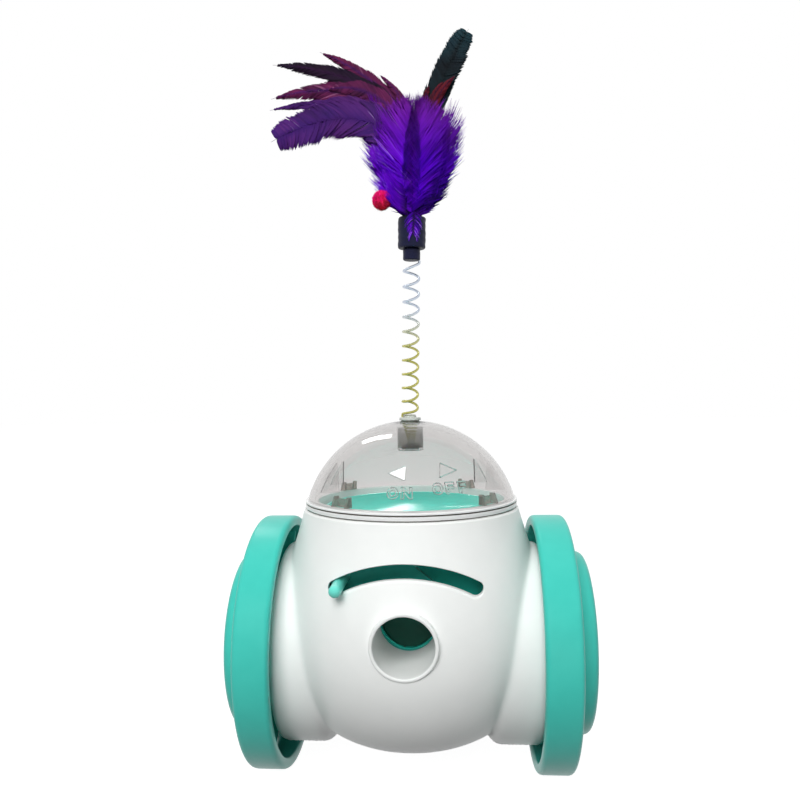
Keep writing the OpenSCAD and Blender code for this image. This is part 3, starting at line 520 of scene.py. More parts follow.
def potCurve(inset):
    # radius against height from the flat base up to the neck, drawn in by the inset; the curves leave the
    # belly upright, and the pulls are shares of the heights over and under it
    belly = np.array(casing["belly"]) - (inset, 0)
    neck = np.array(casing["neck"]) - (inset, 0)
    base = np.array(casing["base"]) + (0, inset)
    tall = casing["neck"][1] - casing["belly"][1]
    deep = casing["belly"][1] - casing["base"][1]
    up, down = casing["bellyPull"]
    upper = cubicCurve(belly, belly + (0, up * tall), neck + np.array(casing["neckPull"]) * tall, neck, 200)
    lower = cubicCurve(belly, belly - (0, down * deep), base + (base[0], 0), base, 200)
    return np.concatenate([lower[::-1], upper[1:]])


def potDistance(x, y, z, inset):
    # signed distance to the pot, near enough: the radial miss times the slope of the wall
    curve = potCurve(inset)
    height = curve[:, 1] + np.arange(len(curve)) * 1e-7  # no two alike, for the division
    slope = np.gradient(curve[:, 0], height)
    wide = np.interp(z, curve[:, 1], curve[:, 0])
    lean = 1 / np.sqrt(1 + np.interp(z, curve[:, 1], slope) ** 2)
    side = (np.hypot(x, y) - wide) * lean
    floor = casing["base"][1] + inset - z
    return np.maximum(side, floor)


def drumDistance(x, y, z, inset):
    # signed distance to a rounded cylinder along the axle, narrowed at its inner end
    far = np.abs(x)
    start = casing["drumIn"] + casing["drumInRound"]
    narrow = np.clip(start - far, 0, casing["drumInRound"])
    radius = casing["drum"] - casing["drumInRound"] + np.sqrt(casing["drumInRound"] ** 2 - narrow ** 2)
    radius = radius - casing["drumTaper"] * np.clip(casing["drumIn"] - far, 0, None) - inset
    bend = casing["drumEndRound"]
    a = np.hypot(y, z) - (radius - bend)
    b = far - (casing["drumEnd"] - inset - bend)
    return np.hypot(np.maximum(a, 0), np.maximum(b, 0)) + np.minimum(np.maximum(a, b), 0) - bend


def casingDistance(x, y, z, inset):
    # the lesser of the two distances, less a little where they are nearly alike, for a soft inner corner
    pot = np.maximum(potDistance(x, y, z, inset), np.abs(x) - casing["drumEnd"] + inset + 1)
    drum = drumDistance(x, y, z, inset)
    blend = casing["crease"]
    near = np.clip(blend - np.abs(pot - drum), 0, None) / blend
    return np.minimum(pot, drum) - near ** 2 * blend / 4


def castOut(start, way, inset, reach):
    # from a start inside the casing along a way to its wall, by halving
    near = np.zeros(way.shape[:-1])
    far = np.full(way.shape[:-1], reach)
    for halving in range(casing["halvings"]):
        half = (near + far) / 2
        spot = start + way * half[..., None]
        inside = casingDistance(spot[..., 0], spot[..., 1], spot[..., 2], inset) < 0
        near = np.where(inside, half, near)
        far = np.where(inside, far, half)
    return start + way * near[..., None]


def wallGrid(phi, inset, lift):
    # below the axle: upright lines spread under the outline at axle height; above it: rays from the middle,
    # up to the lift
    level = np.stack([np.cos(phi), np.sin(phi), 0 * phi], axis=-1)
    outline = castOut(np.zeros(3), level, inset, casing["farOut"])
    share = np.sin(np.linspace(0, np.pi / 2, casing["lowRows"]))[:-1, None, None]
    start = share * outline[None]
    down = np.broadcast_to(np.array([0.0, 0.0, -1.0]), start.shape)
    lower = castOut(start, down, inset, casing["farDown"])
    rise = np.linspace(0, lift, casing["highRows"])[:, None]
    way = np.stack([np.cos(rise) * np.cos(phi), np.cos(rise) * np.sin(phi), np.sin(rise) + 0 * phi],
                   axis=-1)
    upper = castOut(np.zeros(3), way, inset, casing["farOut"])
    return np.concatenate([lower, upper])


def casingHalf(start):
    # half of the casing as one closed wall: outside, rounded rim, inside and the parting faces
    phi = np.linspace(start, start + np.pi, casing["columns"])
    neck, top = casing["neck"]
    bend = casing["rimRound"]
    lift = math.atan2(top - bend, neck + casing["rimGap"])
    outside = wallGrid(phi, 0.0, lift)
    inside = wallGrid(phi, casing["wall"], lift)[::-1]
    outerRim = arcPoints((neck - bend, top - bend), bend, 10, 90, 6)
    innerRim = arcPoints((neck - casing["wall"] + bend, top - bend), bend, 90, 170, 6)
    rim = np.concatenate([outerRim, innerRim])
    ring = np.stack([rim[:, 0][:, None] * np.cos(phi), rim[:, 0][:, None] * np.sin(phi),
                     np.repeat(rim[:, 1][:, None], len(phi), axis=1)], axis=-1)
    points = np.concatenate([outside, ring, inside])
    rows, cols = points.shape[:2]
    faces = gridFaces(rows, cols)
    low = np.arange(rows // 2 - 1)
    high = rows - 1 - low
    across = np.stack([low, low + 1, high - 1, high], axis=1) * cols
    ends = [across, across + cols - 1]
    points = points.reshape(-1, 3) + (0, 0, axleZ)
    return points, [faces] + ends


def onPot(x, z):
    # the y of the pot's front at a place seen from the front
    curve = potCurve(0.0)
    wide = np.interp(z, curve[:, 1], curve[:, 0])
    return -np.sqrt(np.maximum(wide ** 2 - x ** 2, 1.0))


def slotOutline():
    # an arc about the gate's pivot with half-round ends, and the outward direction at each point
    half = np.radians(casing["slotHalf"])
    wide = casing["slotWidth"] / 2
    sweep = np.linspace(-half, half, 61)
    cap = np.linspace(0, np.pi, 15)[1:-1]
    turns = np.concatenate([sweep, half + cap, sweep[::-1] + np.pi, np.pi - half + cap])
    hubs = np.concatenate([sweep, np.full(len(cap), half), sweep[::-1], np.full(len(cap), -half)])
    out = np.stack([np.sin(turns), np.cos(turns)], axis=1)
    middle = casing["slotRadius"] * np.stack([np.sin(hubs), np.cos(hubs)], axis=1)
    spot = middle + wide * out + (0, casing["slotPivot"])
    return spot, out


def flaredCutter(spot, out, bend, depth):
    # the outline carried inwards from the pot's face, widened at its mouth so that the edge comes out
    # round: the widening at a depth s is the bend less a circle's chord there
    s = bend * (1 - np.cos(np.linspace(0, np.pi / 2, 7)))
    flare = bend - np.sqrt(np.clip(bend ** 2 - (bend - s) ** 2, 0, None))
    sink = np.concatenate([[-casing["cutAhead"]], s, [depth]])
    grow = np.concatenate([[bend], flare, [0.0]])
    at = spot[None] + grow[:, None, None] * out[None]
    face = onPot(spot[:, 0], spot[:, 1])
    y = face[None] + sink[:, None]
    points = np.stack([at[..., 0], y, at[..., 1] + axleZ], axis=-1)
    return points.reshape(-1, 3), cappedFaces(*points.shape[:2])


def makeFrontShell():
    # the front half with the slot and the outlet cut out of it and the treat tunnel joined on
    piece = addPiece("frontShell", closedMesh("frontShell", casingHalf(np.pi)), whiteAbs, None)
    slot = flaredCutter(*slotOutline(), casing["slotRound"], casing["cutDepth"])
    radius, up = casing["outlet"]
    a = fullTurn(96)
    out = np.stack([np.sin(a), np.cos(a)], axis=1)
    ring = (radius + casing["outletGap"]) * out + (0, up)
    hole = flaredCutter(ring, out, casing["outletRound"], casing["cutDepth"])
    carve(piece, [slot, hole])
    wall = casing["outletWall"]
    front, end = casing["rimFront"], casing["tunnelEnd"]
    loop = roundedLoop([(radius, -end), (radius, -front), (radius + wall, -front), (radius + wall, -end)],
                       [0.3, 0.55, 0.55, 0.3], 7)
    joinMesh(piece, closedMesh("tunnel", turned(loop, 128, "y", (0, 0, up + axleZ))))
    finishCarved(piece, whiteAbs, "base", ("front_shell",))


screwPosts = {"spots": ((31.0, 34.5), (-31.0, 34.5), (22.0, -20.0), (-22.0, -20.0)),
              "radius": 4.2, "bore": 3.1, "foot": 0.05, "seat": 6.0, "mouth": 0.4, "cutDepth": 14.0,
              "sides": 40}


def postTube(x, z):
    # a post from the parting face to the wall, whose end follows the wall, with the screw's recess in it
    a = fullTurn(screwPosts["sides"])
    curve = potCurve(casing["wall"] / 2)
    radius, bore = screwPosts["radius"], screwPosts["bore"]
    radii = np.array([0.0, radius, radius, bore, bore, 0.0])[:, None]
    px = x + radii * np.cos(a)
    pz = z + radii * np.sin(a)
    wide = np.interp(pz, curve[:, 1], curve[:, 0])
    end = np.sqrt(np.maximum(wide ** 2 - px ** 2, 1.0))
    foot, seat = screwPosts["foot"], screwPosts["seat"]
    level = np.array([foot, foot, 0.0, 0.0, seat, seat])[:, None]
    y = np.where(level > 0, level, end)
    points = np.stack([px, y, pz + axleZ], axis=-1)
    return points.reshape(-1, 3), gridFaces(len(points), screwPosts["sides"], closeCols=True)


def makeRearShell():
    # the rear half with four screw recesses and the posts behind them
    piece = addPiece("rearShell", closedMesh("rearShell", casingHalf(0.0)), whiteAbs, None)
    a = fullTurn(48)
    out = np.stack([np.sin(a), np.cos(a)], axis=1)
    cutters = []
    for x, z in screwPosts["spots"]:
        spot = screwPosts["bore"] * out + (x, z)
        points, faces = flaredCutter(spot, out, screwPosts["mouth"], screwPosts["cutDepth"])
        cutters.append((points * (1, -1, 1), faces))  # the front's cutter, mirrored to the back
    carve(piece, cutters)
    for x, z in screwPosts["spots"]:
        joinMesh(piece, closedMesh("post", postTube(x, z)))
    finishCarved(piece, whiteAbs, "base", ("rear_shell",))


makeFrontShell()
makeRearShell()
print("casing made")


# Wheels: a rim, web and hub turned about the axle, with ribs inside, and a rounded hub cap
wheel = {"radius": 45.0, "inside": 41.2, "near": 42.8, "far": 54.6, "web": 2.4, "edge": 1.9, "lip": 1.2,
         "hub": 5.5, "hubIn": 46.6, "hubOut": 56.9, "bore": 2.08, "ribs": 6, "ribThick": 2.0, "ribFrom": 46.8,
         "cap": 31.9, "capTop": 61.3, "capEdge": 3.0, "capWall": 2.0, "capFoot": 54.65, "steps": 192}


def makeWheel(side, name, node, capName, capNode, body):
    # side is -1 or 1 along the axle; the outlines are (distance from the axle, distance along it)
    webIn = wheel["far"] - wheel["web"]
    loop = roundedLoop([(wheel["bore"], wheel["hubIn"]), (wheel["hub"], wheel["hubIn"]),
                        (wheel["hub"], webIn), (wheel["inside"], webIn), (wheel["inside"], wheel["near"]),
                        (wheel["radius"], wheel["near"]), (wheel["radius"], wheel["far"]),
                        (wheel["hub"], wheel["far"]), (wheel["hub"], wheel["hubOut"]),
                        (wheel["bore"], wheel["hubOut"])],
                       [0.3, 0.4, 0.8, 2.2, wheel["lip"], wheel["edge"], wheel["edge"], 0.6, 0.4, 0.3], 7)
    parts = [turned(loop * (1, side), wheel["steps"], "x", (0, 0, axleZ))]
    for turn in np.arange(wheel["ribs"]) * 2 * np.pi / wheel["ribs"]:
        parts.append(ribSolid(turn, side, webIn))
    addSolid(name, joinParts(parts), tealAbs, body, (node,))
    foot, top, wall, bend = wheel["capFoot"], wheel["capTop"], wheel["capWall"], wheel["capEdge"]
    loop = roundedLoop([(0.0, top), (wheel["cap"], top), (wheel["cap"], foot),
                        (wheel["cap"] - wall, foot), (wheel["cap"] - wall, top - wall), (0.0, top - wall)],
                       [1e-4, bend, 0.4, 0.3, bend - 1.2, 1e-4], 9)
    cap = turned(loop * (1, side), wheel["steps"], "x", (0, 0, axleZ))
    addSolid(capName, cap, tealAbs, body, (capNode,))


def ribSolid(turn, side, webIn):
    # a thin wall from the hub to the rim with a rounded free edge, turned into its place
    half = wheel["ribThick"] / 2
    section = roundedLoop([(-half, webIn + 0.5), (half, webIn + 0.5), (half, wheel["ribFrom"]),
                           (-half, wheel["ribFrom"])], [0.1, 0.1, 0.6, 0.6], 5)
    reach = np.array([wheel["hub"] - 0.5, wheel["inside"] + 0.5])
    out, thick = np.meshgrid(reach, section[:, 0], indexing="ij")
    x = side * np.repeat(section[:, 1][None], 2, axis=0)
    y = out * np.cos(turn) - thick * np.sin(turn)
    z = out * np.sin(turn) + thick * np.cos(turn)
    points = np.stack([x, y, z + axleZ], axis=-1).reshape(-1, 3)
    return points, gridFaces(2, len(section), closeCols=True)


makeWheel(-1, "leftWheel", "left_wheel", "leftHubCap", "left_hub_cap", "left_wheel")
makeWheel(1, "rightWheel", "right_wheel", "rightHubCap", "right_hub_cap", "right_wheel")
print("wheels made")


# Lid: a clear dome with a socket for the wand, brackets and gussets inside it and raised marks, on a milkier
# band with a skirt and lugs; lugs, gussets and bracket walls are placed in degrees round the upright axis
lid = {"radius": 38.5, "inner": 36.5, "centre": 41.2, "foot": 52.3, "seat": 49.8, "band": 52.4,
       "bandRadius": 37.6, "skirtOut": 34.6, "skirtIn": 33.0, "skirtLow": 42.0, "socket": 4.6,
       "socketLow": 69.0, "bore": 3.2, "lugs": (51.5, 141.5, 231.5, 321.5), "lugIn": 31.4, "lugThick": 1.6,
       "lugHalf": 11.0, "finThick": 0.8, "finAt": 5.0, "finIn": 32.0, "finTop": 55.8,
       "gussets": (31.5, 161.5, 211.5, 341.5), "gussetIn": 27.5, "markWire": 0.2, "shadeWire": 0.24, "steps": 192}


def sphereArc(radius, fromR, toR, count):
    # points on a sphere round the dome's centre between two distances from the upright axis
    a = np.linspace(math.acos(fromR / radius), math.acos(toR / radius), count)
    return np.stack([radius * np.cos(a), lid["centre"] + radius * np.sin(a)], axis=1)


def domeProfile():
    # radius against height: over the dome, across its foot, up inside it and round the socket
    deep = lid["foot"] - lid["centre"]
    roof = lid["centre"] + math.sqrt(lid["inner"] ** 2 - lid["socket"] ** 2)
    crown = lid["centre"] + math.sqrt(lid["radius"] ** 2 - lid["bore"] ** 2)
    top = sphereArc(lid["radius"], lid["bore"] + 0.3, math.sqrt(lid["radius"] ** 2 - deep ** 2), 64)
    under = sphereArc(lid["inner"], math.sqrt(lid["inner"] ** 2 - deep ** 2), lid["socket"] + 0.5, 64)
    neck = [(lid["socket"] + 0.15, roof - 0.12), (lid["socket"], roof - 0.5)]
    outer = arcPoints((lid["socket"] - 0.3, lid["socketLow"] + 0.3), 0.3, 0, -90, 5)
    inner = arcPoints((lid["bore"] + 0.3, lid["socketLow"] + 0.3), 0.3, -90, -180, 5)
    mouth = [(lid["bore"], crown - 0.3), (lid["bore"] + 0.1, crown - 0.08)]
    return np.concatenate([top, under, neck, outer, inner, mouth])


def bandProfile():
    # the band with its groove, and the skirt that goes down inside the casing's neck
    out, low, top = lid["bandRadius"], lid["seat"], lid["band"]
    return roundedLoop([(lid["skirtIn"], top), (out, top), (out, top - 0.7), (out - 0.8, top - 0.7),
                        (out - 0.8, top - 1.2), (out, top - 1.2), (out, low), (lid["skirtOut"], low),
                        (lid["skirtOut"], lid["skirtLow"]), (lid["skirtIn"], lid["skirtLow"])],
                       [0.3, 0.35, 0.12, 0.1, 0.1, 0.12, 0.25, 0.2, 0.25, 0.25], 5)


def finSolid(turn, inner, low, high):
    # a thin upright wall from a radius out to the inside of the dome, between two heights
    r = lid["inner"] - 0.06
    top = min(high, lid["centre"] + math.sqrt(r * r - inner * inner))
    a = np.linspace(math.asin((low - lid["centre"]) / r), math.asin((top - lid["centre"]) / r), 14)
    rim = np.stack([r * np.cos(a), lid["centre"] + r * np.sin(a)], axis=1)
    outline = np.concatenate([[(inner, top - 0.01), (inner, low)], rim])
    half = lid["finThick"] / 2
    way = math.radians(turn)
    layers = np.array([-half, half])
    reach = np.repeat(outline[None, :, 0], 2, axis=0)
    x = reach * math.cos(way) - layers[:, None] * math.sin(way)
    y = reach * math.sin(way) + layers[:, None] * math.cos(way)
    z = np.repeat(outline[None, :, 1], 2, axis=0) + axleZ
    return np.stack([x, y, z], axis=-1).reshape(-1, 3), cappedFaces(2, len(outline))


def ringPart(middle, half, inner, outer, low, high):
    # a part of a ring between two radii and two heights
    a = np.radians(np.linspace(middle - half, middle + half, 13))
    section = roundedLoop([(inner, low), (outer, low), (outer, high), (inner, high)],
                          [0.2, 0.05, 0.05, 0.2], 4)
    points = np.stack([section[None, :, 0] * np.cos(a)[:, None], section[None, :, 0] * np.sin(a)[:, None],
                       np.repeat(section[None, :, 1], len(a), axis=0) + axleZ], axis=-1)
    return points.reshape(-1, 3), cappedFaces(len(a), len(section))


# places of the marks in degrees round from the front and up from the dome's centre
lidMarks = {"onAt": (-2.6, 26.5), "offAt": (25.2, 28.3), "height": 3.9, "width": 3.5, "gap": 0.9,
            "leftTriangle": ((-9.7, 36.7), (0.3, 40.6), (-0.1, 32.9)),
            "rightTriangle": ((32.0, 37.4), (22.5, 41.9), (20.0, 34.0)), "stroke": 0.24,
            "facet": 0.12, "facetFoot": 0.01, "facetGrid": 14}


def letterLoops(letter):
    # closed outlines of a plain block letter in a box of one by one
    s = lidMarks["stroke"]
    if letter == "O":
        a = fullTurn(40)
        ring = np.stack([np.cos(a), np.sin(a)], axis=1)
        return [0.5 + 0.5 * ring, 0.5 + (0.5 - s) * ring]
    if letter == "N":
        return [np.array([(0, 0), (s, 0), (s, 0.62), (1 - s, 0), (1, 0), (1, 1), (1 - s, 1), (1 - s, 0.4),
                          (s, 1), (0, 1)])]
    return [np.array([(0, 0), (s, 0), (s, 0.42), (0.8, 0.42), (0.8, 0.42 + s), (s, 0.42 + s), (s, 1 - s),
                      (0.9, 1 - s), (0.9, 1), (0, 1)])]


def evenLoop(points, count):
    # a closed outline with its points spread evenly
    loop = np.concatenate([points, points[:1]])
    run = np.concatenate([[0], np.cumsum(np.linalg.norm(np.diff(loop, axis=0), axis=1))])
    want = np.linspace(0, run[-1], count, endpoint=False)
    return np.stack([np.interp(want, run, loop[:, 0]), np.interp(want, run, loop[:, 1])], axis=1)


def ontoDome(spots, proud=0.02):
    # degrees round from the front and up from the dome's centre, to points on its outside
    a, e = np.radians(spots[:, 0]), np.radians(spots[:, 1])
    r = lid["radius"] + proud
    return np.stack([r * np.cos(e) * np.sin(a), -r * np.cos(e) * np.cos(a),
                     r * np.sin(e) + lid["centre"] + axleZ], axis=1)


def markTubes():
    # the outlines of both words and both triangles, laid on the dome as thin raised lines
    parts = []
    perDegree = math.radians(1) * lid["radius"]
    for word, (turn, rise) in (("ON", lidMarks["onAt"]), ("OFF", lidMarks["offAt"])):
        squeeze = perDegree * math.cos(math.radians(rise))
        full = len(word) * lidMarks["width"] + (len(word) - 1) * lidMarks["gap"]
        for i, letter in enumerate(word):
            left = -full / 2 + i * (lidMarks["width"] + lidMarks["gap"])
            for loop in letterLoops(letter):
                flat = evenLoop(loop * (lidMarks["width"], lidMarks["height"]), 64)
                spots = np.stack([turn + (left + flat[:, 0]) / squeeze,
                                  rise + (flat[:, 1] - lidMarks["height"] / 2) / perDegree], axis=1)
                parts.append(tubeAlong(ontoDome(spots), lid["markWire"], 6, closed=True))
    for key in ("leftTriangle", "rightTriangle"):
        spots = evenLoop(np.array(lidMarks[key]), 60)
        parts.append(tubeAlong(ontoDome(spots), lid["markWire"] * 1.1, 6, closed=True))
    return parts


def triangleFacet(corners):
    # a thin raised face, painted white as a highlight: its tip fanned out to its base on a square grid, in
    # two layers over the dome
    side = lidMarks["facetGrid"]
    count = side * side
    u, v = np.meshgrid(np.linspace(0, 1, side), np.linspace(0, 1, side), indexing="ij")
    tip, first, second = np.array(corners, float)
    flat = tip + u[..., None] * ((1 - v)[..., None] * first + v[..., None] * second - tip)
    spots = flat.reshape(-1, 2)
    points = np.concatenate([ontoDome(spots, lidMarks["facet"]), ontoDome(spots, lidMarks["facetFoot"])])
    layer = gridFaces(side, side)
    spot = np.arange(count).reshape(side, side)
    edge = np.concatenate([spot[0, :-1], spot[:-1, -1], spot[-1, :0:-1], spot[:0:-1, 0]])
    after = np.roll(edge, -1)
    return points, [layer, layer + count, np.stack([edge, after, after + count, edge + count], axis=1)]


def addLidPiece(name, parts, material, angle, stands=()):
    # closed parts merged one by one into one piece that turns with the lid
    piece = addPiece(name, closedMesh(name, parts[0]), material, "lid", stands)
    for part in parts[1:]:
        joinMesh(piece, closedMesh("extra", part))
    smoothMesh(piece.data, angle)


def makeLid():
    # dome, band with its lugs, two dark rings of painted shade in the band, brackets of two walls and a cross
    # wall, gussets, marks
    addLidPiece("clearDome", [turned(domeProfile() + (0, axleZ), lid["steps"])], clearLid, 32, ("dome",))
    band = [turned(bandProfile() + (0, axleZ), lid["steps"])]
    band += [ringPart(middle, lid["lugHalf"], lid["lugIn"], lid["skirtIn"] - 0.05, lid["skirtLow"],
                      lid["skirtLow"] + lid["lugThick"]) for middle in lid["lugs"]]
    addLidPiece("lidBand", band, milkyBand, 35)
    ring = fullTurn(240)
    circle = np.stack([np.cos(ring), np.sin(ring), 0 * ring], axis=1)
    groove = (lid["bandRadius"] - 0.45, lid["band"] - 0.95)
    edge = (lid["bandRadius"] - 0.25, lid["seat"] + 0.1)
    # two dark rings of painted shade, one in the groove and one at the band's seat
    shadeRings = [tubeAlong(circle * (r, r, 0) + (0, 0, z + axleZ), lid["shadeWire"], 8, closed=True)
             for r, z in (groove, edge)]
    addLidPiece("lidSeals", shadeRings, grooveShade, 60)
    low = lid["band"] + 0.04
    fins = [finSolid(middle + side * lid["finAt"], lid["finIn"], low, lid["finTop"])
            for middle in lid["lugs"] for side in (-1, 1)]
    fins += [ringPart(middle, lid["finAt"] - 1.0, lid["finIn"] + 0.02, lid["finIn"] + 0.82, low,
                      lid["finTop"] - 0.6) for middle in lid["lugs"]]
    # the brackets in a smoky tint, painted shade
    addLidPiece("lidFins", fins, finShadeClear, 30)
    gussets = [finSolid(turn, lid["gussetIn"], lid["finTop"], lid["band"] + 30) for turn in lid["gussets"]]
    addLidPiece("lidGussets", gussets, clearLid, 30)
    addLidPiece("lidMarks", markTubes(), clearLid, 60)
    # the left triangle's face, painted white as a highlight
    addLidPiece("lidPointer", [triangleFacet(lidMarks["leftTriangle"])], pointerHighlight, 40)


makeLid()
print("lid made")


# Hopper: a smooth dish turned about the upright axis, the chute under it and the guide plate behind the gate
hopper = {"lip": 30.7, "wall": 1.6, "top": 50.3, "depth": 8.0, "chute": 12.0, "chuteY": -7.2,
          "restLow": 40.0, "rest": 36.1, "floorY": -19.5, "floorZ": 4.0, "slope": 30.0, "outlet": 9.6,
          "outletUp": 13.5, "plateY": 21.1, "plateHalf": 25.0, "plateLow": 0.2, "plateTop": 40.8,
          "chuteTop": 42.0, "cutLow": 30.0, "cutTop": 60.0, "cutFront": -25.0, "steps": 96, "dishSteps": 180}


def dishProfile():
    # radius against height: over the lip, down the dish to its middle, and back underneath
    rim = np.array((hopper["lip"] - hopper["wall"], hopper["top"]))
    low = np.array((hopper["chute"] / 2, hopper["top"] - hopper["depth"]))
    steep = (0.92 * rim[0], low[1] + 0.35 * hopper["depth"])
    curve = cubicCurve(rim, steep, (0.7 * rim[0], low[1]), low, 40)
    lip = arcPoints((hopper["lip"] - hopper["wall"] / 2, hopper["top"] - hopper["wall"] / 2),
                    hopper["wall"] / 2, 0, 170, 9)
    upper = np.concatenate([lip, curve[3:]])
    under = curve[3:][::-1] - (0, hopper["wall"])
    skirtIn = hopper["lip"] - hopper["wall"]
    restTop = hopper["restLow"] + hopper["wall"]
    skirt = [(skirtIn, under[-1][1] - 1.5), (skirtIn, hopper["restLow"]),
             (hopper["rest"], hopper["restLow"]), (hopper["rest"], restTop), (hopper["lip"], restTop)]
    return np.concatenate([upper, under, skirt])


def chuteBar():
    # a round bar that cuts the chute's mouth out of the dish
    a = fullTurn(hopper["steps"])
    radius = hopper["chute"]
    ring = np.stack([radius * np.cos(a), hopper["chuteY"] + radius * np.sin(a), 0 * a], axis=1)
    ends = [ring + (0, 0, height + axleZ) for height in (hopper["cutLow"], hopper["cutTop"])]
    return np.concatenate(ends), cappedFaces(2, hopper["steps"])


def outletBar():
    # a round bar from the chute's axis to the front that cuts the outlet out of the chute and the plate
    a = fullTurn(hopper["steps"])
    ring = np.stack([hopper["outlet"] * np.sin(a), 0 * a, hopper["outlet"] * np.cos(a)], axis=1)
    ring = ring + (0, 0, hopper["outletUp"] + axleZ)
    ends = [ring + (0, y, 0) for y in (hopper["cutFront"], hopper["chuteY"])]
    return np.concatenate(ends), cappedFaces(2, hopper["steps"])


def chuteRings(radii, levels):
    # rings round the chute's axis, each at its own radius: level with the chute's top, or on or under the
    # floor that slopes down to the front
    a = fullTurn(hopper["steps"])
    r = np.array(radii)[:, None]
    x = r * np.cos(a)
    y = hopper["chuteY"] + r * np.sin(a)
    slope = math.radians(hopper["slope"])
    floor = hopper["floorZ"] + (y - hopper["floorY"]) * math.tan(slope)
    under = floor - hopper["wall"] / math.cos(slope)
    heights = {"top": 0 * y + hopper["chuteTop"], "floor": floor, "under": under}
    z = np.stack([heights[level][i] for i, level in enumerate(levels)])
    points = np.stack([x, y, z + axleZ], axis=-1).reshape(-1, 3)
    return points, gridFaces(len(radii), hopper["steps"], closeRows=True, closeCols=True)


def guidePlate():
    # a flat plate with rounded edges, from its outline seen from above carried upwards
    half, front = hopper["plateHalf"], -hopper["plateY"]
    back = front + hopper["wall"]
    outline = roundedLoop([(-half, front), (half, front), (half, back), (-half, back)], [0.4] * 4, 4)
    low = np.concatenate([outline, np.full((len(outline), 1), hopper["plateLow"] + axleZ)], axis=1)
    high = low * (1, 1, 0) + (0, 0, hopper["plateTop"] + axleZ)
    return np.concatenate([low, high]), cappedFaces(2, len(outline))


def makeHopper():
    # the dish carries the guide plate; the chute with its ramp is a piece of its own, because its teal is
    # painted darker as shade
    shape = turned(dishProfile() + (0, axleZ), hopper["dishSteps"])
    dish = addPiece("hopperDish", closedMesh("hopperDish", shape), polishedTeal, None)
    carve(dish, [chuteBar()])
    inside, outside = hopper["chute"], hopper["chute"] + hopper["wall"]
    shape = chuteRings([outside, outside, inside, inside], ["top", "under", "under", "top"])
    chute = addPiece("hopperChute", closedMesh("chute", shape), chuteShadeTeal, None)
    plate = addPiece("plate", closedMesh("plate", guidePlate()), tealAbs, None)
    carve(chute, [outletBar()])
    carve(plate, [outletBar()])
    reach = inside + 0.3  # into the chute's wall
    shape = chuteRings([0.0, reach, reach, 0.0], ["floor", "floor", "under", "under"])
    joinMesh(chute, closedMesh("ramp", shape))
    joinMesh(dish, plate.data)  # the plate's object goes with its mesh
    finishCarved(dish, polishedTeal, "base", ("hopper",))
    finishCarved(chute, chuteShadeTeal, "base", ())


makeHopper()
print("hopper made")


# Lever: a straight round pin through the slot with a half-round end; from and end are along y
lever = {"pivotUp": -8.0, "radius": 43.0, "angle": -29.5, "pin": 1.95, "from": -23.5, "end": -45.93,
         "rows": 12, "sides": 40}


def makeLever():
    # its place is on a circle about the gate's pivot, its outline a straight side and a quarter circle
    a = math.radians(lever["angle"])
    x = lever["radius"] * math.sin(a)
    z = lever["pivotUp"] + lever["radius"] * math.cos(a) + axleZ
    rows, pin = lever["rows"], lever["pin"]
    bend = lever["end"] + pin
    tip = arcPoints((0, bend), pin, 0, -90, rows)
    side = np.stack([np.full(rows, pin), np.linspace(lever["from"], bend, rows)], axis=1)
    loop = np.concatenate([[(0.0, lever["from"])], side, tip[1:]])
    shape = turned(loop, lever["sides"], "y", (x, 0, z))
    addSolid("leverPin", shape, paleTealAbs, "gate", ("gate_lever",), 50)


makeLever()
print("lever made")


# Wand: everything above the lid leans a little to the right about the spring's foot. The foot and the plug's
# heights are from the floor, those of collar and sleeve from the foot.
wand = {"foot": 125.8, "lean": 1.3, "coil": 2.7, "wire": 0.45, "length": 54.6, "lift": 0.1, "turns": 10.5,
        "pitchChange": 0.08, "coilTilt": 0.34, "tiltIn": 0.6, "perTurn": 28, "sides": 10, "steps": 72,
        "collar": 3.0, "collarFrom": 54.75, "collarTo": 58.72, "sleeve": 4.8, "sleeveFrom": 58.77,
        "sleeveTo": 69.35, "plug": 3.22, "plugLow": 114.8, "domeTop": 124.7, "flange": 3.8, "spigot": 2.05,
        "spigotFoot": 2.2, "spigotTop": 126.8}


def toWand(points):
    # from the wand's own upright frame to its place on the lid
    a = math.radians(wand["lean"])
    p = np.asarray(points, float)
    x = p[..., 0] * math.cos(a) + p[..., 2] * math.sin(a)
    z = -p[..., 0] * math.sin(a) + p[..., 2] * math.cos(a) + wand["foot"]
    return np.stack([x, p[..., 1], z], axis=-1)


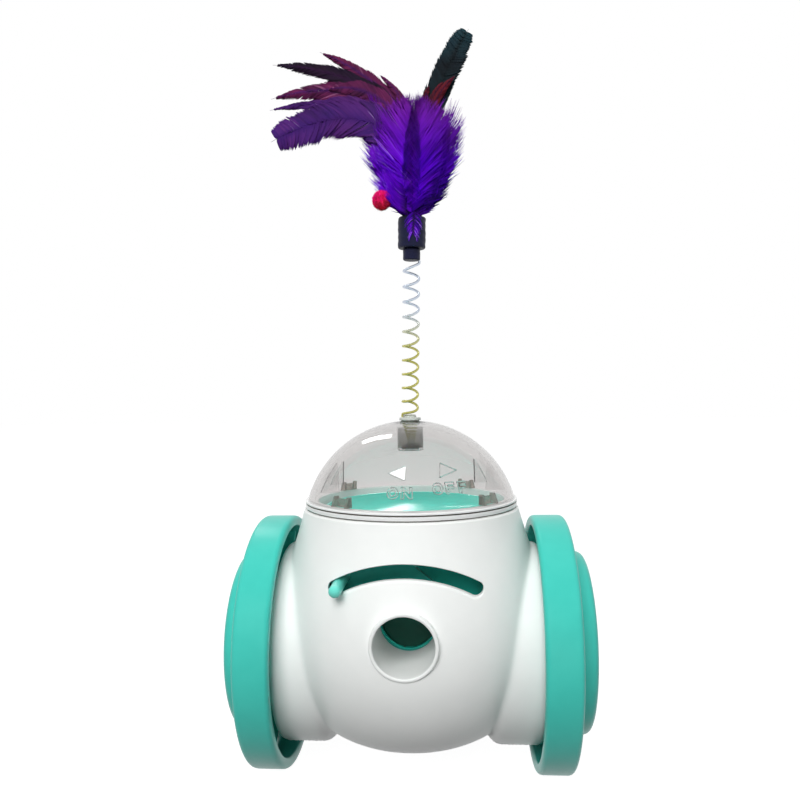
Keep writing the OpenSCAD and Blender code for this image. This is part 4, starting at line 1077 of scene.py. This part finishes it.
def makeSpring():
    # a helix whose pitch grows a little upwards and whose turns tilt, with straight ends one wire thick
    wireWide = 2 * wand["wire"]
    k = np.linspace(0, 1, int(wand["perTurn"] * wand["turns"]) + 1)
    rise = k - wand["pitchChange"] * k * (1 - k)
    a = np.pi + 2 * np.pi * wand["turns"] * k
    coil = np.stack([wand["coil"] * np.cos(a), wand["coil"] * np.sin(a),
                     wireWide + (wand["length"] - 2 * wireWide) * rise], axis=1)
    tilted = np.clip(np.minimum(k, 1 - k) * wand["turns"] / wand["tiltIn"], 0, 1)
    coil[:, 2] += wand["coilTilt"] * coil[:, 1] * tilted
    foot = coil[0] * (1, 1, 0)
    head = coil[-1] * (1, 1, 0) + (0, 0, wand["length"])
    path = np.concatenate([[foot], coil, [head]]) + (0, 0, wand["lift"])
    heading = np.gradient(path, axis=0)
    heading[[0, -1]] = (0, 0, 1)
    heading /= np.linalg.norm(heading, axis=1, keepdims=True)
    out = path * (1, 1, 0)
    out /= np.linalg.norm(out, axis=1, keepdims=True)
    side = out - np.sum(out * heading, axis=1, keepdims=True) * heading
    side /= np.linalg.norm(side, axis=1, keepdims=True)
    other = np.cross(heading, side)
    s = fullTurn(wand["sides"])
    ring = np.cos(s)[None, :, None] * side[:, None] + np.sin(s)[None, :, None] * other[:, None]
    points = toWand((path[:, None] + wand["wire"] * ring).reshape(-1, 3))
    shape = (points, cappedFaces(len(path), wand["sides"]))
    piece = addSolid("wandSpring", shape, springWire, None, ("wand_spring",), 60)
    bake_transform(piece)


def turnedOnWand(name, loop, material, node, wobble=0.0):
    # a turned piece on the wand's axis; the wobble ripples its side a little, as soft rubber does
    points, faces = turned(loop, wand["steps"])
    angle = np.arctan2(points[:, 1], points[:, 0])
    ripple = 1 + wobble * np.sin(3 * angle + 1.7 * points[:, 2]) * np.sin(0.9 * points[:, 2])
    points[:, :2] *= ripple[:, None]
    addSolid(name, (toWand(points), faces), material, "wand", (node,))


def sideLoop(radius, low, high, bend, rows=24):
    # a closed outline of a short cylinder with rounded edges and many rows up its side
    side = np.stack([np.full(rows, radius), np.linspace(low + bend, high - bend, rows)], axis=1)
    return np.concatenate([[(0.0, low)], arcPoints((radius - bend, low + bend), bend, -90, 0, 6), side,
                           arcPoints((radius - bend, high - bend), bend, 0, 90, 6), [(0.0, high)]])


def makePlug():
    # the plug fills the socket's bore; its flange is a thin disc painted paler as a highlight, with a short
    # spigot inside the spring
    top = wand["domeTop"] + 0.1
    loop = roundedLoop([(0.0, wand["plugLow"]), (wand["plug"], wand["plugLow"]), (wand["plug"], top + 0.2),
                        (0.0, top + 0.2)], [1e-4, 0.4, 0.1, 1e-4], 6)
    shape = turned(loop, wand["steps"])
    addSolid("wandPlug", shape, greyPlastic, "lid", ("wand_plug",))
    loop = roundedLoop([(0.0, top), (wand["flange"], top), (wand["flange"], wand["foot"]),
                        (wand["spigotFoot"], wand["foot"]), (wand["spigot"], wand["spigotTop"]),
                        (0.0, wand["spigotTop"])], [1e-4, 0.2, 0.35, 0.2, 0.5, 1e-4], 6)
    addSolid("plugFlange", turned(loop, wand["steps"]), flangeHighlightGrey, "lid", ())


makeSpring()
makePlug()
turnedOnWand("springCollar", sideLoop(wand["collar"], wand["collarFrom"], wand["collarTo"], 0.5),
             blackRubber, "spring_collar", 0.012)
turnedOnWand("featherSleeve", sideLoop(wand["sleeve"], wand["sleeveFrom"], wand["sleeveTo"], 0.6),
             blackRubber, "feather_sleeve", 0.02)
print("wand made")


# Feathers: each barb is a thin tapering blade along its own path
def unitRows(v):
    # each vector divided by its length
    return v / (np.linalg.norm(v, axis=-1, keepdims=True) + 1e-9)


def barbBlades(path, lift, width, tone):
    # a flat blade along each path, square to its lift, that widens at its root and narrows to its tip; the
    # texture values are the share of its length and its tone
    count, rows = path.shape[:2]
    u = np.linspace(0, 1, rows)[None, :, None]
    heading = unitRows(np.gradient(path, axis=1))
    flat = unitRows(np.cross(heading, np.broadcast_to(lift, path.shape)))
    thin = width[:, None, None] * (1 - u ** 3.0) * (0.35 + 0.65 * np.minimum(1, 6 * u)) / 2 + 0.02
    points = np.stack([path - flat * thin, path + flat * thin], axis=2)
    base = np.arange(count)[:, None] * rows * 2 + np.arange(rows - 1)[None] * 2
    quads = np.stack([base, base + 1, base + 3, base + 2], axis=-1).reshape(-1, 4)
    share = np.broadcast_to(u, (count, rows, 2))
    tint = np.broadcast_to(np.clip(tone, 0.01, 0.99)[:, None, None], (count, rows, 2))
    return points.reshape(-1, 3), quads, np.stack([share, tint], axis=-1).reshape(-1, 2)


def quillTube(path, thick):
    # a tapered round quill, with the dark root's texture values along it
    width = thick * (1 - 0.85 * np.linspace(0, 1, len(path)))
    points, faces = tubeAlong(path, width, 6)
    return points, faces, np.zeros((len(points), 2))


def quillSpot(ends, s):
    # a quadratic curve over three points, at shares s along it
    w = s[..., None]
    return (1 - w) ** 2 * ends[0] + 2 * w * (1 - w) * ends[1] + w ** 2 * ends[2]


def quillHeading(ends, s):
    # the direction of that curve
    w = s[..., None]
    return unitRows((1 - w) * (ends[1] - ends[0]) + w * (ends[2] - ends[1]))


def addFeatherPiece(name, parts, material, node):
    # blades and quills in one mesh, moved up to the top of the sleeve
    points = np.concatenate([p for p, f, m in parts])
    starts = np.cumsum([0] + [len(p) for p, f, m in parts[:-1]])
    faces = np.concatenate([f + s for (p, f, m), s in zip(parts, starts)])
    marks = np.concatenate([m for p, f, m in parts])
    mesh = fillMesh(name, toWand(points + (0, 0, wand["sleeveTo"])), faces)
    layer = mesh.uv_layers.new(name="barbs")
    corner = np.zeros(len(mesh.loops), np.int32)
    mesh.loops.foreach_get("vertex_index", corner)
    layer.data.foreach_set("uv", marks[corner].astype(np.float32).ravel())
    smoothMesh(mesh, 180)
    return addPiece(name, mesh, material, "wand", (node,) if node else ())


# half-width of a vane against the share along its quill
pointed = ((0.0, 0.2, 0.45, 0.7, 0.88, 1.0), (0.35, 0.8, 1.0, 0.85, 0.5, 0.03))
broad = ((0.0, 0.2, 0.5, 0.8, 0.93, 1.0), (0.35, 0.8, 1.0, 1.0, 0.85, 0.45))


def vaneParts(plan):
    # barbs leave the quill, run along its curve and end on the vane's outline; clumps of them differ a little
    parts = []
    toward = np.array([0.0, -1.0, 0.0])
    for root, bend, tip, half, depth, outline in plan["quills"]:
        ends = np.array([(x, plan["depth"] + depth, z) for x, z in (root, bend, tip)])
        count = plan["barbs"]
        t = np.tile(np.linspace(0.0, 0.97, count), 2)
        hand = np.repeat([1.0, -1.0], count)
        group = np.floor(t * plan["clumps"]).astype(int) + np.where(hand > 0, 0, plan["clumps"])
        sway = chance.normal(0, 1, (2 * plan["clumps"], 3))[group]
        noise = chance.normal(0, 1, (2 * count, 3))
        end = t + (1 - t) * (plan["lag"] + 0.025 * sway[:, 0] + 0.012 * noise[:, 0])
        wide = half * np.interp(end, *outline) * (1 + 0.07 * sway[:, 1] + 0.05 * noise[:, 1])
        u = np.linspace(0, 1, 8)[None]
        s = t[:, None] + (end - t)[:, None] * u
        aside = (hand * wide)[:, None] * (1.35 * u - 0.35 * u * u)
        side = np.cross(quillHeading(ends, s), toward)
        bow = (plan["bow"] * (0.3 + 0.5 * chance.random(2 * count)) + 0.25 * sway[:, 2])[:, None] * u * u
        nearer = 0.2 * noise[:, 2][:, None] - bow
        path = quillSpot(ends, s) + side * aside[..., None] + toward * nearer[..., None]
        tone = plan["tone"] + 0.13 * sway[:, 0] + chance.normal(0, 0.09, 2 * count)
        # barbs given the palest tone are painted highlight streaks
        tone = np.where(chance.random(2 * count) < plan["pale"], 0.98, np.clip(tone, 0.02, 0.78))
        parts.append(barbBlades(path, toward, plan["blade"] * (0.7 + 0.6 * chance.random(2 * count)), tone))
        parts.append(quillTube(quillSpot(ends, np.linspace(0, 1, 40)), plan["thick"]))
    return parts


# each quill has its root, bend and tip as x and z from the sleeve's top, then the vane's half-width, its
# depth and its outline
longFeathers = (
    {"name": "hackleLow", "node": "hackle_low", "slot": "plum_feather", "material": violetHackle,
     "depth": -5.0, "barbs": 340, "lag": 0.30, "clumps": 12, "blade": 0.8, "bow": 1.4, "thick": 0.35,
     "tone": 0.42, "pale": 0.015,
     "quills": (((0, 18), (-14, 42), (-48.3, 24.6), 6.0, 0.0, broad),
                ((0, 19), (-14, 42), (-43.0, 29.5), 3.6, 1.0, pointed),
                ((0, 17), (-12, 38), (-34.0, 28.0), 3.2, 1.6, pointed))},
    {"name": "hackleMid", "node": "hackle_mid", "slot": "plum_feather", "material": violetHackle,
     "depth": -2.5, "barbs": 220, "lag": 0.28, "clumps": 9, "blade": 0.5, "bow": 1.0, "thick": 0.3,
     "tone": 0.34, "pale": 0.008,
     "quills": (((0, 21), (-16, 43), (-49.3, 35.9), 1.9, 0.0, pointed),
                ((0, 20), (-15, 42), (-41.0, 32.6), 2.8, 0.8, pointed),
                ((0, 22), (-13, 42), (-36.0, 36.5), 3.0, -0.7, pointed))},
    {"name": "hackleHigh", "node": "hackle_high", "slot": "plum_feather", "material": plumHackle,
     "depth": 0.0, "barbs": 240, "lag": 0.28, "clumps": 10, "blade": 0.5, "bow": 1.0, "thick": 0.3,
     "tone": 0.46, "pale": 0.008,
     "quills": (((0, 25), (-15, 50), (-49.4, 40.6), 3.3, 0.0, pointed),
                ((0, 24), (-14, 47), (-37.0, 39.2), 3.4, 0.8, pointed),
                ((0, 26), (-12, 47), (-30.0, 43.0), 3.2, -0.7, pointed))},
    {"name": "hackleTop", "node": "hackle_top", "slot": "plum_feather", "material": darkHackle,
     "depth": 2.5, "barbs": 260, "lag": 0.28, "clumps": 8, "blade": 0.5, "bow": 1.0, "thick": 0.3,
     "tone": 0.4, "pale": 0.008,
     "quills": (((1, 27), (-14, 51.5), (-49.4, 53.0), 3.1, 0.0, pointed),
                ((1, 27), (-13, 49), (-31.0, 47.2), 3.3, 0.8, pointed))},
    {"name": "hackleBack", "node": "hackle_back", "slot": "dark_feather", "material": plumHackle,
     "depth": 5.0, "barbs": 220, "lag": 0.26, "clumps": 8, "blade": 0.45, "bow": 0.8, "thick": 0.3,
     "tone": 0.55, "pale": 0.005,
     "quills": (((2, 30), (-10, 48.5), (-33.2, 58.0), 2.5, 0.0, pointed),
                ((2, 28), (-3, 43), (-12.0, 49.6), 1.3, -0.8, pointed),
                ((2, 29), (-7, 46), (-22.0, 51.5), 2.2, 0.7, pointed))},
    {"name": "greenFeather", "node": "green_feather", "slot": "dark_feather", "material": greenSheen,
     "depth": 0.5, "barbs": 420, "lag": 0.22, "clumps": 4, "blade": 0.6, "bow": 0.5, "thick": 0.3,
     "tone": 0.45, "pale": 0.0,
     "quills": (((5.5, 30), (8.0, 46), (18.6, 62.4), 4.2, 0.0, broad),)},
    {"name": "hackleRight", "node": None, "slot": "plum_feather", "material": crimsonHackle,
     "depth": -2.0, "barbs": 160, "lag": 0.26, "clumps": 6, "blade": 0.42, "bow": 0.6, "thick": 0.25,
     "tone": 0.5, "pale": 0.0,
     "quills": (((3.5, 25), (5.5, 39), (14.6, 46.6), 1.6, 0.0, pointed),
                ((3, 24), (4, 38), (10.5, 45.0), 1.6, 0.8, pointed),
                ((2, 24), (2.5, 36), (5.5, 44.0), 1.5, 1.4, pointed))},
)
for plan in longFeathers:
    addFeatherPiece(plan["name"], vaneParts(plan), plan["material"], plan["node"])
print("long feathers made")


# Tuft: broad fluffy feathers back to back round the wand; barbs sweep up and out, gather in clumps and bend
# backwards. Reach, angle and greatest length go by the share along the quill; a feather is given by its turn
# round the wand, how far its quill stands out at the foot and in the middle, size, barbs a side, tilt and, if
# any, the bare share of its quill.
tuft = {"tall": 30.0, "quill": 0.3, "blade": 0.3, "clumps": 20, "curl": 0.28, "sleeve": 5.12,
        "shares": (0.0, 0.05, 0.27, 0.5, 0.7, 0.85, 1.0), "reach": (6.8, 10.0, 15.0, 15.2, 11.0, 7.0, 4.0),
        "angles": (66.0, 66.0, 60.0, 53.0, 46.0, 34.0, 12.0),
        "longest": (40.0, 40.0, 40.0, 30.0, 20.0, 15.0, 11.0),
        "feathers": ((0, 2.6, 7.0, 1.0, 700, 0.5), (34, 2.8, 6.6, 0.88, 460, 0.5),
                     (-34, 2.8, 6.6, 0.88, 460, 0.5), (88, 2.8, 5.5, 0.7, 330, 0.5),
                     (-88, 2.8, 5.5, 0.7, 330, 0.5), (146, 2.8, 6.6, 0.86, 380, 0.5),
                     (-146, 2.8, 6.6, 0.86, 380, 0.5), (180, 2.6, 7.0, 1.0, 480, 0.5),
                     (0, 2.4, 6.4, 0.6, 240, -22.0, 0.74), (180, 2.4, 5.6, 0.6, 200, -22.0, 0.74)),
        "sleeveBarbs": 80, "wisps": 90}


def tuftFeather(turn, foot, belly, size, count, tilt, bare=0.0):
    # each barb leaves the quill at a lean that grows smaller upwards, curls in, leans to its clump's middle
    # and bends back from the way the feather faces
    way = math.radians(turn)
    facing = np.array([math.sin(way), -math.cos(way), 0.0])
    slope = math.tan(math.radians(tilt))
    ends = np.array([facing * foot + (0, 0, 0.2), facing * belly + (0, 0, 0.5 * tuft["tall"]),
                     facing * 0.4 * belly + (0, 0, tuft["tall"])])
    ends[:, 0] += slope * ends[:, 2]
    clumps = tuft["clumps"]
    t = np.tile(np.linspace(bare, 1.0, count), 2)
    hand = np.repeat([1.0, -1.0], count)
    group = np.clip(np.floor(t * clumps).astype(int), 0, clumps - 1) + np.where(hand > 0, 0, clumps)
    sway = chance.normal(0, 1, (2 * clumps, 4))[group]
    noise = chance.normal(0, 1, (2 * count, 4))
    middle = (group % clumps + 0.5) / clumps
    spread = np.interp(t, tuft["shares"], tuft["angles"]) + 3.5 * sway[:, 0] + 4.0 * noise[:, 0]
    lean = np.radians(np.clip(spread, 3, 80))
    reach = size * np.interp(t, tuft["shares"], tuft["reach"])
    reach = reach * (1 + 0.05 * sway[:, 1] + 0.03 * noise[:, 1])
    longest = np.interp(t, tuft["shares"], tuft["longest"])
    long = np.minimum(reach / np.sin(lean) / (1 - tuft["curl"]), longest)
    long *= 1 + 0.05 * noise[:, 1]
    u = np.linspace(0, 1, 8)[None]
    along = quillHeading(ends, t)
    across = unitRows(np.cross(along, facing)) * hand[:, None]
    gather = 0.55 * (middle - t) * tuft["tall"]
    ahead = (long * np.cos(lean))[:, None] * u + gather[:, None] * u * u
    aside = (long * np.sin(lean))[:, None] * (u - tuft["curl"] * u * u)
    back = (0.34 * reach + 0.7 * sway[:, 2] + 0.7 * noise[:, 2])[:, None] * u * u
    path = (quillSpot(ends, t)[:, None] + along[:, None] * ahead[..., None]
            + across[:, None] * aside[..., None] - facing * back[..., None])
    # the last term paints the tuft lighter to the left, painted light as from a lamp on that side
    tone = 0.46 + 0.12 * sway[:, 3] + 0.09 * noise[:, 3] - 0.013 * path[:, -1, 0]
    width = tuft["blade"] * (0.7 + 0.6 * chance.random(2 * count))
    quill = quillTube(quillSpot(ends, np.linspace(0, 1, 30)), tuft["quill"])
    return [barbBlades(path, facing, width, tone), quill]


def sleeveBarbs():
    # a small loose feather down the front of the sleeve: barbs droop to both sides of a middle line
    count = tuft["sleeveBarbs"]
    u = np.linspace(0, 1, 7)[None]
    t = np.linspace(0, 1, count)[:, None]
    hand = np.where(chance.random(count) < 0.5, -1.0, 1.0)[:, None]
    reach = (3.2 - 1.7 * t) * (0.7 + 0.5 * chance.random(count)[:, None])
    x = 1.0 - 0.3 * t + hand * reach * (1.3 * u - 0.3 * u * u)
    z = 0.8 - 7.2 * t - (2.0 + 1.4 * chance.random(count)[:, None]) * (0.4 * u + 0.6 * u * u)
    y = -np.sqrt(tuft["sleeve"] ** 2 - x * x) - 0.15 * chance.random(count)[:, None] * u
    # the few pale barbs are painted highlights
    tone = 0.05 + 0.93 * chance.random(count) ** 1.8
    path = np.stack([x, y, z], axis=-1)
    return barbBlades(path, np.array([0.0, -1.0, 0.0]), np.full(count, 0.11), tone)


def frontWisps():
    # loose barbs low on the left that reach over the edge of the pompom
    count = tuft["wisps"]
    u = np.linspace(0, 1, 7)[None]
    share = chance.random(count)[:, None]
    x = -1.5 - (6.2 + 2.2 * chance.random(count)[:, None]) * (u - 0.15 * u * u)
    y = -5.5 - (6.0 + 0.6 * chance.random(count)[:, None]) * np.sin(1.2 * u)
    z = 0.4 + 9.0 * share + (3.2 + 1.6 * chance.random(count)[:, None]) * u * u
    tone = 0.5 + chance.normal(0, 0.12, count)
    return barbBlades(np.stack([x, y, z], axis=-1), np.array([0.0, -1.0, 0.0]), np.full(count, 0.28), tone)


def makeTuft():
    parts = [sleeveBarbs(), frontWisps()]
    for plan in tuft["feathers"]:
        parts += tuftFeather(*plan)
    addFeatherPiece("plumeTuft", parts, violetDown, "plume")


makeTuft()
print("tuft made")


# Pompom: a small ball of short tapered strands in every direction, placed from the sleeve's top
pompom = {"at": (-9.83, -7.64, 4.07), "radius": 3.5, "strands": 2600, "blade": 0.34, "core": 2.7}


def makePompom():
    # strands start half way up the core, run straight out and bend a little to one side
    count = pompom["strands"]
    way = unitRows(chance.normal(0, 1, (count, 3)))
    side = unitRows(np.cross(way, chance.normal(0, 1, (count, 3))))
    u = np.linspace(0, 1, 5)[None, :, None]
    long = (pompom["radius"] - pompom["core"] * 0.5) * (0.84 + 0.16 * chance.random(count))
    bend = chance.normal(0, 0.35, count)[:, None, None]
    root = np.array(pompom["at"]) + way * pompom["core"] * 0.5
    path = root[:, None] + way[:, None] * long[:, None, None] * u + side[:, None] * bend * u * u
    width = np.full(count, pompom["blade"])
    blades = barbBlades(path, np.cross(way, side)[:, None], width, chance.random(count))
    loop = arcPoints((0, pompom["at"][2]), pompom["core"], -90, 90, 16)
    points, faces = turned(loop, 24, "z", (pompom["at"][0], pompom["at"][1], 0))
    core = (points, faces, np.full((len(points), 2), 0.4))
    addFeatherPiece("pompomBall", [blades, core], redYarn, "pompom")


makePompom()
print("pompom made")


# Finishes of the solids that stay as they are
cadFinishes = {"shell_screws": brightSteel, "counterweight": castIron, "axle": brightSteel,
               "axle_spacers": nylon, "axle_clips": brightSteel, "gate": tealAbs,
               "gate_pivot_screw": brightSteel, "gate_washer": brightSteel}
for nodeName, material in cadFinishes.items():
    solid = nodes[nodeName]
    solid.data.materials.clear()
    solid.data.materials.append(material)
print("solids finished")


# Studio: a pale floor, soft lamps above and in front, and a white surround for the camera and reflections.
# Metres and watts; a lamp is given by its place, the line its width runs along, width, height, power and
# whether it shows as a reflection.
studio = {"floor": 6.0, "bounce": "#303030", "shadowShare": 0.20, "glow": 0.97, "world": 0.16,
          "floorDrop": 0.05,  # this one in millimetres, so that treads and floor don't share a plane
          "aim": (0, 0, 0.08), "dishLamps": ("dishLamp", "glintLamp"),
          "lamps": (("keyLamp", (-0.22, -0.90, 0.75), (1, 0, 0), 0.6, 0.6, 10.0, False),
                    ("topLamp", (0.05, 0.05, 1.1), (1, 0, 0), 0.8, 0.8, 4.0, False),
                    ("sideLamp", (0.85, -0.5, 0.45), (0, 1, 0), 0.5, 0.5, 0.8, False),
                    ("frontLamp", (0.08, -1.1, 0.22), (1, 0, 0), 0.4, 0.4, 1.2, False),
                    ("streakLamp", (-0.31, 0.567, 0.737), (0.212, -0.099, 0.197), 0.30, 0.05, 0.6, True),
                    ("dishLamp", (0.02, 0.55, 0.80), (1, 0, 0), 0.07, 0.60, 7.0, True),
                    ("glintLamp", (0.02, 0.50, 0.85), (1, 0, 0), 0.05, 0.60, 26.0, True))}


def makeStudio():
    # the camera sees the floor as a glow that lamps and shadows change a little; the toy gets a darker bounce
    half = studio["floor"] / mm / 2
    spots = np.array([(-half, -half, 0), (half, -half, 0), (half, half, 0), (-half, half, 0)], float)
    mesh = fillMesh("studioFloor", spots - (0, 0, studio["floorDrop"]), np.array([[0, 1, 2, 3]]))
    material, tree, coord = openMaterial("paleFloor")
    share = studio["shadowShare"]
    through = seenRays(tree)
    matt = addNode(tree, "ShaderNodeBsdfDiffuse", {"Color": hexLinear(studio["bounce"])})
    glow = addNode(tree, "ShaderNodeEmission", {"Color": (1, 1, 1, 1), "Strength": studio["glow"]})
    dim = addNode(tree, "ShaderNodeBsdfDiffuse", {"Color": (share, share, share, 1)})
    both = addNode(tree, "ShaderNodeAddShader", {0: dim.outputs[0], 1: glow.outputs[0]})
    pick = addNode(tree, "ShaderNodeMixShader", {0: through, 1: matt.outputs[0], 2: both.outputs[0]})
    closeMaterial(tree, pick)
    floor = bpy.data.objects.new("studioFloor", mesh)
    mesh.materials.append(material)
    bpy.context.scene.collection.objects.link(floor)
    world = bpy.data.worlds.new("studioSurround")
    bpy.context.scene.world = world
    world.use_nodes = True
    tree = world.node_tree
    tree.nodes.clear()
    dim = addNode(tree, "ShaderNodeBackground", {"Color": (1, 1, 1, 1), "Strength": studio["world"]})
    white = addNode(tree, "ShaderNodeBackground", {"Color": (1, 1, 1, 1), "Strength": 1.0})
    pick = addNode(tree, "ShaderNodeMixShader", {0: seenRays(tree), 1: dim.outputs[0], 2: white.outputs[0]})
    addNode(tree, "ShaderNodeOutputWorld", {"Surface": pick.outputs[0]})
    for plan in studio["lamps"]:
        addLamp(*plan)
    dishOnly = bpy.data.collections.new("dishOnly")
    dishOnly.objects.link(bpy.data.objects["hopperDish"])
    for name in studio["dishLamps"]:
        bpy.data.objects[name].light_linking.receiver_collection = dishOnly
    bpy.data.objects["glintLamp"].visible_diffuse = False  # it adds a reflection and no light
    bpy.context.scene.view_settings.view_transform = "Standard"


def seenRays(tree):
    # one for rays from the camera, and for those that metal and clear plastic send on
    path = addNode(tree, "ShaderNodeLightPath")
    seen = addNode(tree, "ShaderNodeMath", {0: path.outputs["Is Camera Ray"],
                   1: path.outputs["Is Glossy Ray"]}, operation="MAXIMUM")
    through = addNode(tree, "ShaderNodeMath", {0: seen.outputs[0], 1: path.outputs["Is Transmission Ray"]},
                      operation="MAXIMUM")
    return through.outputs[0]


def addLamp(name, spot, along, wide, tall, power, glossy):
    # a soft panel aimed at the middle of the toy, turned so that its width runs along a line
    data = bpy.data.lights.new(name, "AREA")
    data.shape = "RECTANGLE"
    data.size = wide
    data.size_y = tall
    data.energy = power
    lamp = bpy.data.objects.new(name, data)
    back = np.array(spot) - studio["aim"]
    back /= np.linalg.norm(back)
    right = np.array(along, float)
    right -= np.dot(right, back) * back
    right /= np.linalg.norm(right)
    turn = np.eye(4)
    turn[:3, :3] = np.stack([right, np.cross(back, right), back], axis=1)
    turn[:3, 3] = spot
    lamp.matrix_world = Matrix(turn.tolist())
    lamp.visible_glossy = glossy
    lamp.visible_transmission = glossy
    bpy.context.scene.collection.objects.link(lamp)


makeStudio()
print("studio made")
